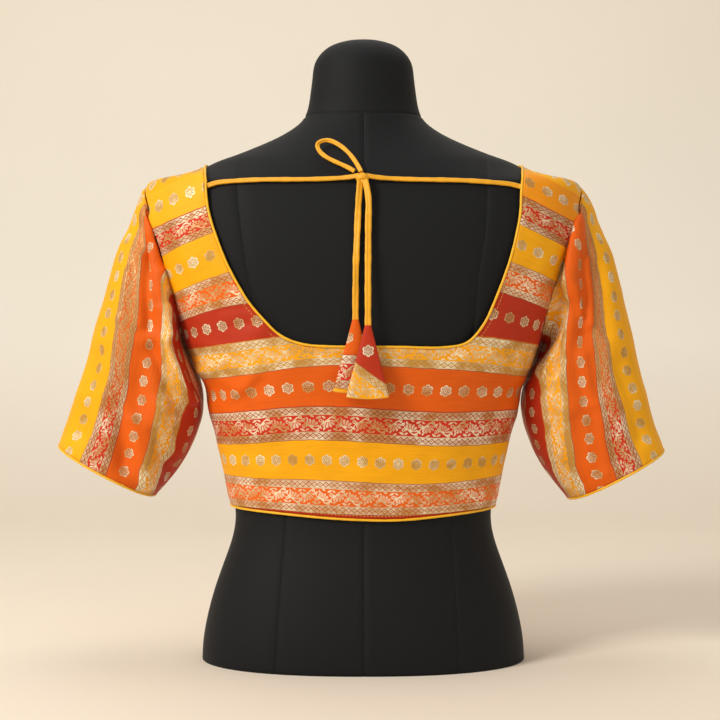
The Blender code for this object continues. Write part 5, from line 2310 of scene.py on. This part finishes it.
@dataclass
class ClothDrop:
    """A latkan: patches of the brocade folded into a flat cone and pressed.

    Attributes:
        side: Tail that it hangs from.
        brocade: Material of the patches.
        satin: Material of the binding.
        top: Place of its tip.
        lean: How far its foot lies from below its tip, as x and y.
        height: Height of the cone.
        seam: Distance down from the tip to the patches' seam at the middle.
        slope: Fall of the seam for each millimetre to the right.
        around: Points round the cone.
        foot_points: Points round its bound foot.
    """

    side: Side
    brocade: Material
    satin: Material
    top: tuple[float, float, float]
    lean: tuple[float, float]
    seam: float
    slope: float
    height: float = 68.5
    around: int = 72
    foot_points: int = 90

    def point(self, turn: Array, down: Array) -> Array:
        """Points of the drop.

        Args:
            turn: Turn round it at each point, in radians.
            down: Distance down from its tip.

        Returns:
            The points.
        """
        rows = np.array(DROP_ROWS)
        share = down / self.height
        values = read_along(rows[:, 1:], rows[:, 0], share)
        across = np.cos(turn)
        flat = np.sign(np.sin(turn)) * np.abs(np.sin(turn))**0.8
        x = values[..., 0] * across
        pinch = 0.5 * np.exp(-((down - self.seam - self.slope * x) / 1.0)**2)
        belly = 0.5 * np.cos(x / 5.5 + down / 21.0) * share
        y = (values[..., 1] - pinch + belly * np.abs(np.sin(turn))) * flat
        foot = 1.6 * share**3 * (np.abs(across)**2)
        return np.stack([
            self.top[0] + self.lean[0] * share + x, self.top[1] + self.lean[1] * share + y,
            self.top[2] - down + foot,
        ], axis=-1)

    def patch(self, maker: MeshMaker, start: Callable, end: Callable, rows: int,
              weave: Callable[[Array, Array], Array]) -> Array:
        """Add one patch between two lines across the cone.

        Args:
            maker: Mesh that it goes into.
            start: Distance down of its upper line, by the place across the cone.
            end: Distance down of its lower line.
            rows: How many rows of points it has.
            weave: Place in the weave by the place across and down.

        Returns:
            The numbers of its points.
        """
        turn = turns_round(self.around)
        rows_of_points, cuts = [], []
        for share in np.linspace(0, 1, rows):
            down = np.full(self.around, 30.0)
            for _ in range(12):
                x = self.point(turn, down)[:, 0] - self.top[0]
                down = start(x) * (1 - share) + end(x) * share
            points = self.point(turn, down)
            rows_of_points.append(points)
            cuts.append(weave(points[:, 0] - self.top[0], down))
        numbers = maker.add_points(np.array(rows_of_points), np.array(cuts))
        maker.add_faces(numbers, True, True)
        return numbers

    def build(self) -> list[Piece]:
        """Build the drop with its seam and its bound foot."""
        maker = MeshMaker(f"drop_{self.side.word}")
        # Each patch's shift along the weave, its start across it, and the stripe that it keeps to
        if self.side is Side.LEFT:
            shift, start, least, most = 11.2, 87.5 + 16.5, 70, 105
        else:
            shift, start, least, most = -7.8, 156.5 + 23.6, 140, 174

        def seam_line(x: Array) -> Array:
            """Distance down of the patches' seam."""
            return self.seam + self.slope * x

        def upper(x: Array, down: Array) -> Array:
            """Place in the weave on the upper patch."""
            return np.stack([x + shift, np.clip(start - down, least, most), 0 * x], axis=-1)

        def lower(x: Array, down: Array) -> Array:
            """Place in the weave on the lower patch."""
            if self.side is Side.LEFT:
                return np.stack([x + 3.0, 69 - (down - self.seam), 0 * x], axis=-1)
            slant = math.hypot(1, self.slope)
            below, along = (down - seam_line(x)) / slant, (x + down * self.slope) / slant
            return np.stack([along, 138.0 - below, 0 * x], axis=-1)

        top = self.patch(maker, lambda x: 0 * x, seam_line, 40, upper)
        foot = self.patch(maker, seam_line, lambda x: 0 * x + self.height, 34, lower)
        maker.add_cap(top[0], False)
        maker.add_cap(foot[-1], True)
        piece = maker.build(self.brocade)
        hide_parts(f"latkan_{self.side.word}")
        down = np.full(self.foot_points, self.height - 0.9)
        line = self.point(turns_round(self.foot_points), down)
        middle = np.mean(line[:, :2], axis=0)
        line[:, :2] = (line[:, :2] - middle) * 0.985 + middle
        outline_turns = turns_round(8)
        radius = 1.25 if self.side is Side.LEFT else 0.6
        outline = round_outline(outline_turns) * radius
        facing = np.tile([0.0, 0.0, 1.0], (self.foot_points, 1))
        binding = MeshMaker(f"drop_binding_{self.side.word}")
        rings = tube_rings(line, facing, outline, closed=True)
        binding.add_tube(rings, outline_turns * radius, lengths_along(line), True)
        bound = binding.build(self.satin)
        return [piece, bound]


@dataclass
class Studio:
    """Camera, paper sweep and soft lights.

    Attributes:
        paper: Paper of the sweep.
        lens: Focal length of the camera in millimetres, on film 36 mm wide.
        camera_place: Where the camera stands, in metres.
        wall_bend: Where the floor starts to bend up, and the bend's radius, in metres.
        world_light: Strength of the light from all round.
    """

    paper: StudioPaper = field(default_factory=StudioPaper)
    lens: float = 75.0
    camera_place: tuple[float, float, float] = (-0.0032, -1.5, 0.295)
    wall_bend: float = 1.2
    world_light: float = 0.46

    def camera(self) -> None:
        """Set the camera level at the photo's height and distance."""
        data = bpy.data.cameras.new("camera")
        data.lens = self.lens
        data.sensor_width = 36.0
        data.clip_end = 50.0
        camera = bpy.data.objects.new("camera", data)
        camera.location = self.camera_place
        camera.rotation_euler = (math.radians(90), 0.0, 0.0)
        bpy.context.scene.collection.objects.link(camera)
        bpy.context.scene.camera = camera

    def sweep(self) -> None:
        """Build the paper sweep: a floor that curves up into a wall."""
        bend, turns = self.wall_bend, np.linspace(0.08, math.pi / 2, 24)
        y = np.concatenate([
            np.linspace(-4.0, bend, 14), bend + bend * np.sin(turns), np.full(6, 2 * bend)])
        z = np.concatenate([
            np.zeros(14), bend * (1 - np.cos(turns)), np.linspace(1.5, 6.0, 6)])
        x = np.linspace(-6.0, 6.0, 13)
        points = np.stack(np.broadcast_arrays(x[None], y[:, None], z[:, None]), axis=-1) / MM
        maker = MeshMaker("paper_sweep")
        maker.add_faces(maker.add_points(points, 0 * points), False, False)
        maker.make(self.paper.material())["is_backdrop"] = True

    def light(self, name: str, place: Sequence[float], size: float, power: float,
              colour: str) -> None:
        """Add a square soft light that looks at the blouse.

        Args:
            name: Name of the light.
            place: Where it stands.
            size: Length of its side.
            power: Its power in watts.
            colour: Its colour.
        """
        data = bpy.data.lights.new(name, "AREA")
        data.shape = "SQUARE"
        data.size = size
        data.energy = power
        data.color = linear(colour)[:3]
        lamp = bpy.data.objects.new(name, data)
        lamp.location = place
        way = Vector((0.0, 0.0, 0.3)) - Vector(place)
        lamp.rotation_euler = way.to_track_quat("-Z", "Y").to_euler()
        bpy.context.scene.collection.objects.link(lamp)

    def build(self) -> None:
        """Build the studio round the object."""
        self.camera()
        self.sweep()
        self.light("key", (-1.7, -1.5, 1.75), 0.85, 49.0, "#fffdf9")
        self.light("fill", (1.9, -1.9, 0.8), 1.6, 5.0, "#fffdfb")
        self.light("top", (0.0, 0.5, 2.4), 1.8, 14.0, "#fffefc")
        world = bpy.data.worlds.new("studio")
        world.use_nodes = True
        sky = world.node_tree.nodes["Background"]
        fill_inputs(sky, {"Color": linear("#fffdfa"), "Strength": self.world_light})
        bpy.context.scene.world = world
        bpy.context.scene.view_settings.view_transform = "Standard"
        bpy.context.scene.view_settings.look = "None"


@dataclass
class Blouse:
    """The whole blouse: panels, sleeves, piping, stitches, tie and cloth drops.

    Attributes:
        brocade: Material of the panels, the sleeves and the drops' patches.
        piping: Material of the piping.
        cord: Material of the tie and of the drops' binding.
        thread: Material of the stitches.
    """

    brocade: Material
    piping: Material
    cord: Material
    thread: Material

    def edge_places(self, bodice: Bodice) -> tuple[Array, Array]:
        """Edges that the piping follows.

        Args:
            bodice: The panels.

        Returns:
            Angles and heights along the whole neckline and the whole hem.
        """
        backs = [bodice.half_back(side) for side in Side]
        fronts = [bodice.half_front(side) for side in Side]
        back = np.concatenate([backs[0][:, :0:-1], backs[1]], axis=1)
        front_neck = [front[0, bodice.side:-1] for front in fronts]
        neck = np.concatenate([front_neck[0], back[0], front_neck[1][::-1]])
        middle = back.shape[1] // 2
        back_hem = back[-1, middle - bodice.hem:middle + bodice.hem + 1]
        hem = np.concatenate([fronts[0][:-1, 0], back_hem, fronts[1][:-1, 0][::-1]])
        return neck, hem

    def sew_piping(self, bodice: Bodice, rings: dict[Side, Array]) -> None:
        """Build the piping and the stitches beside it.

        Args:
            bodice: The panels.
            rings: Rings of each sleeve.
        """
        piping = Piping(self.piping)
        neck, hem = self.edge_places(bodice)
        for name, places, way in (("neck_piping", neck, 1.0), ("hem_piping", hem, -1.0)):
            line, normals = piping.along_panel(places, way)
            line[0, 0], line[-1, 0] = -bodice.centre_gap, bodice.centre_gap
            piping.roll(f"{name}_roll", line, normals, False, name)
        for side, ring in rings.items():
            away = unit(ring[-1] - ring[-2])
            inward = unit(ring[-1].mean(axis=0) - ring[-1])
            line = ring[-1] + away * (piping.radius + piping.gap) + inward * SHAPE.wall / 2
            name = f"cuff_piping_{side.word}"
            piping.roll(f"{name}_roll", line[:-1], -inward[:-1], True, name)
        stitches = RunningStitches(self.thread)
        lines = []
        insets = (neck, -1.0, stitches.neck_inset), (hem, 1.0, stitches.hem_inset)
        for places, way, inset in insets:
            edge, away, normals = beside_edge(places, way)
            lines.append((edge + away * inset + normals * stitches.rise, normals))
        stitches.sew("edge_stitches", lines)

    def build(self) -> None:
        """Build all the pieces in order."""
        drops = {
            Side.LEFT: ClothDrop(Side.LEFT, self.brocade, self.cord, (-7.4, -105.0, 332.6),
                                 (-0.6, -0.6), 33.0, 0.04).build(),
            Side.RIGHT: ClothDrop(Side.RIGHT, self.brocade, self.cord, (4.2, -110.4, 327.0),
                                  (-0.4, -3.4), 42.5, 0.74, height=68.4).build(),
        }
        Tie(self.cord).build(drops)
        bodice = Bodice(self.brocade)
        bodice.build()
        slides = {Side.LEFT: -1.0, Side.RIGHT: -3.5}
        rings = {side: Sleeve(side, self.brocade, slide=slides[side]).build()[1] for side in Side}
        self.sew_piping(bodice, rings)


def write_sizes() -> None:
    boxes = {"cad": CAD_BOX, "visual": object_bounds()}
    for name, (low, high) in boxes.items():
        LOG.info("%s box %s", name, [round((b - a) / MM, 1) for a, b in zip(low, high)])


def main() -> None:
    """Build the studio, the form and the blouse, and report each piece."""
    logging.basicConfig(level=logging.INFO, format="%(message)s")
    Studio().build()
    Blouse(
        SilkBrocade().material(),
        SatinBias("silk_satin_piping", "#ffc410", "#f0a806").material(),
        SatinBias("silk_satin_tie", "#fcb60c", "#e29a06").material(),
        SewingThread().material(),
    ).build()
    DressForm().build()
    write_sizes()


if __name__ == "__main__":
    main()
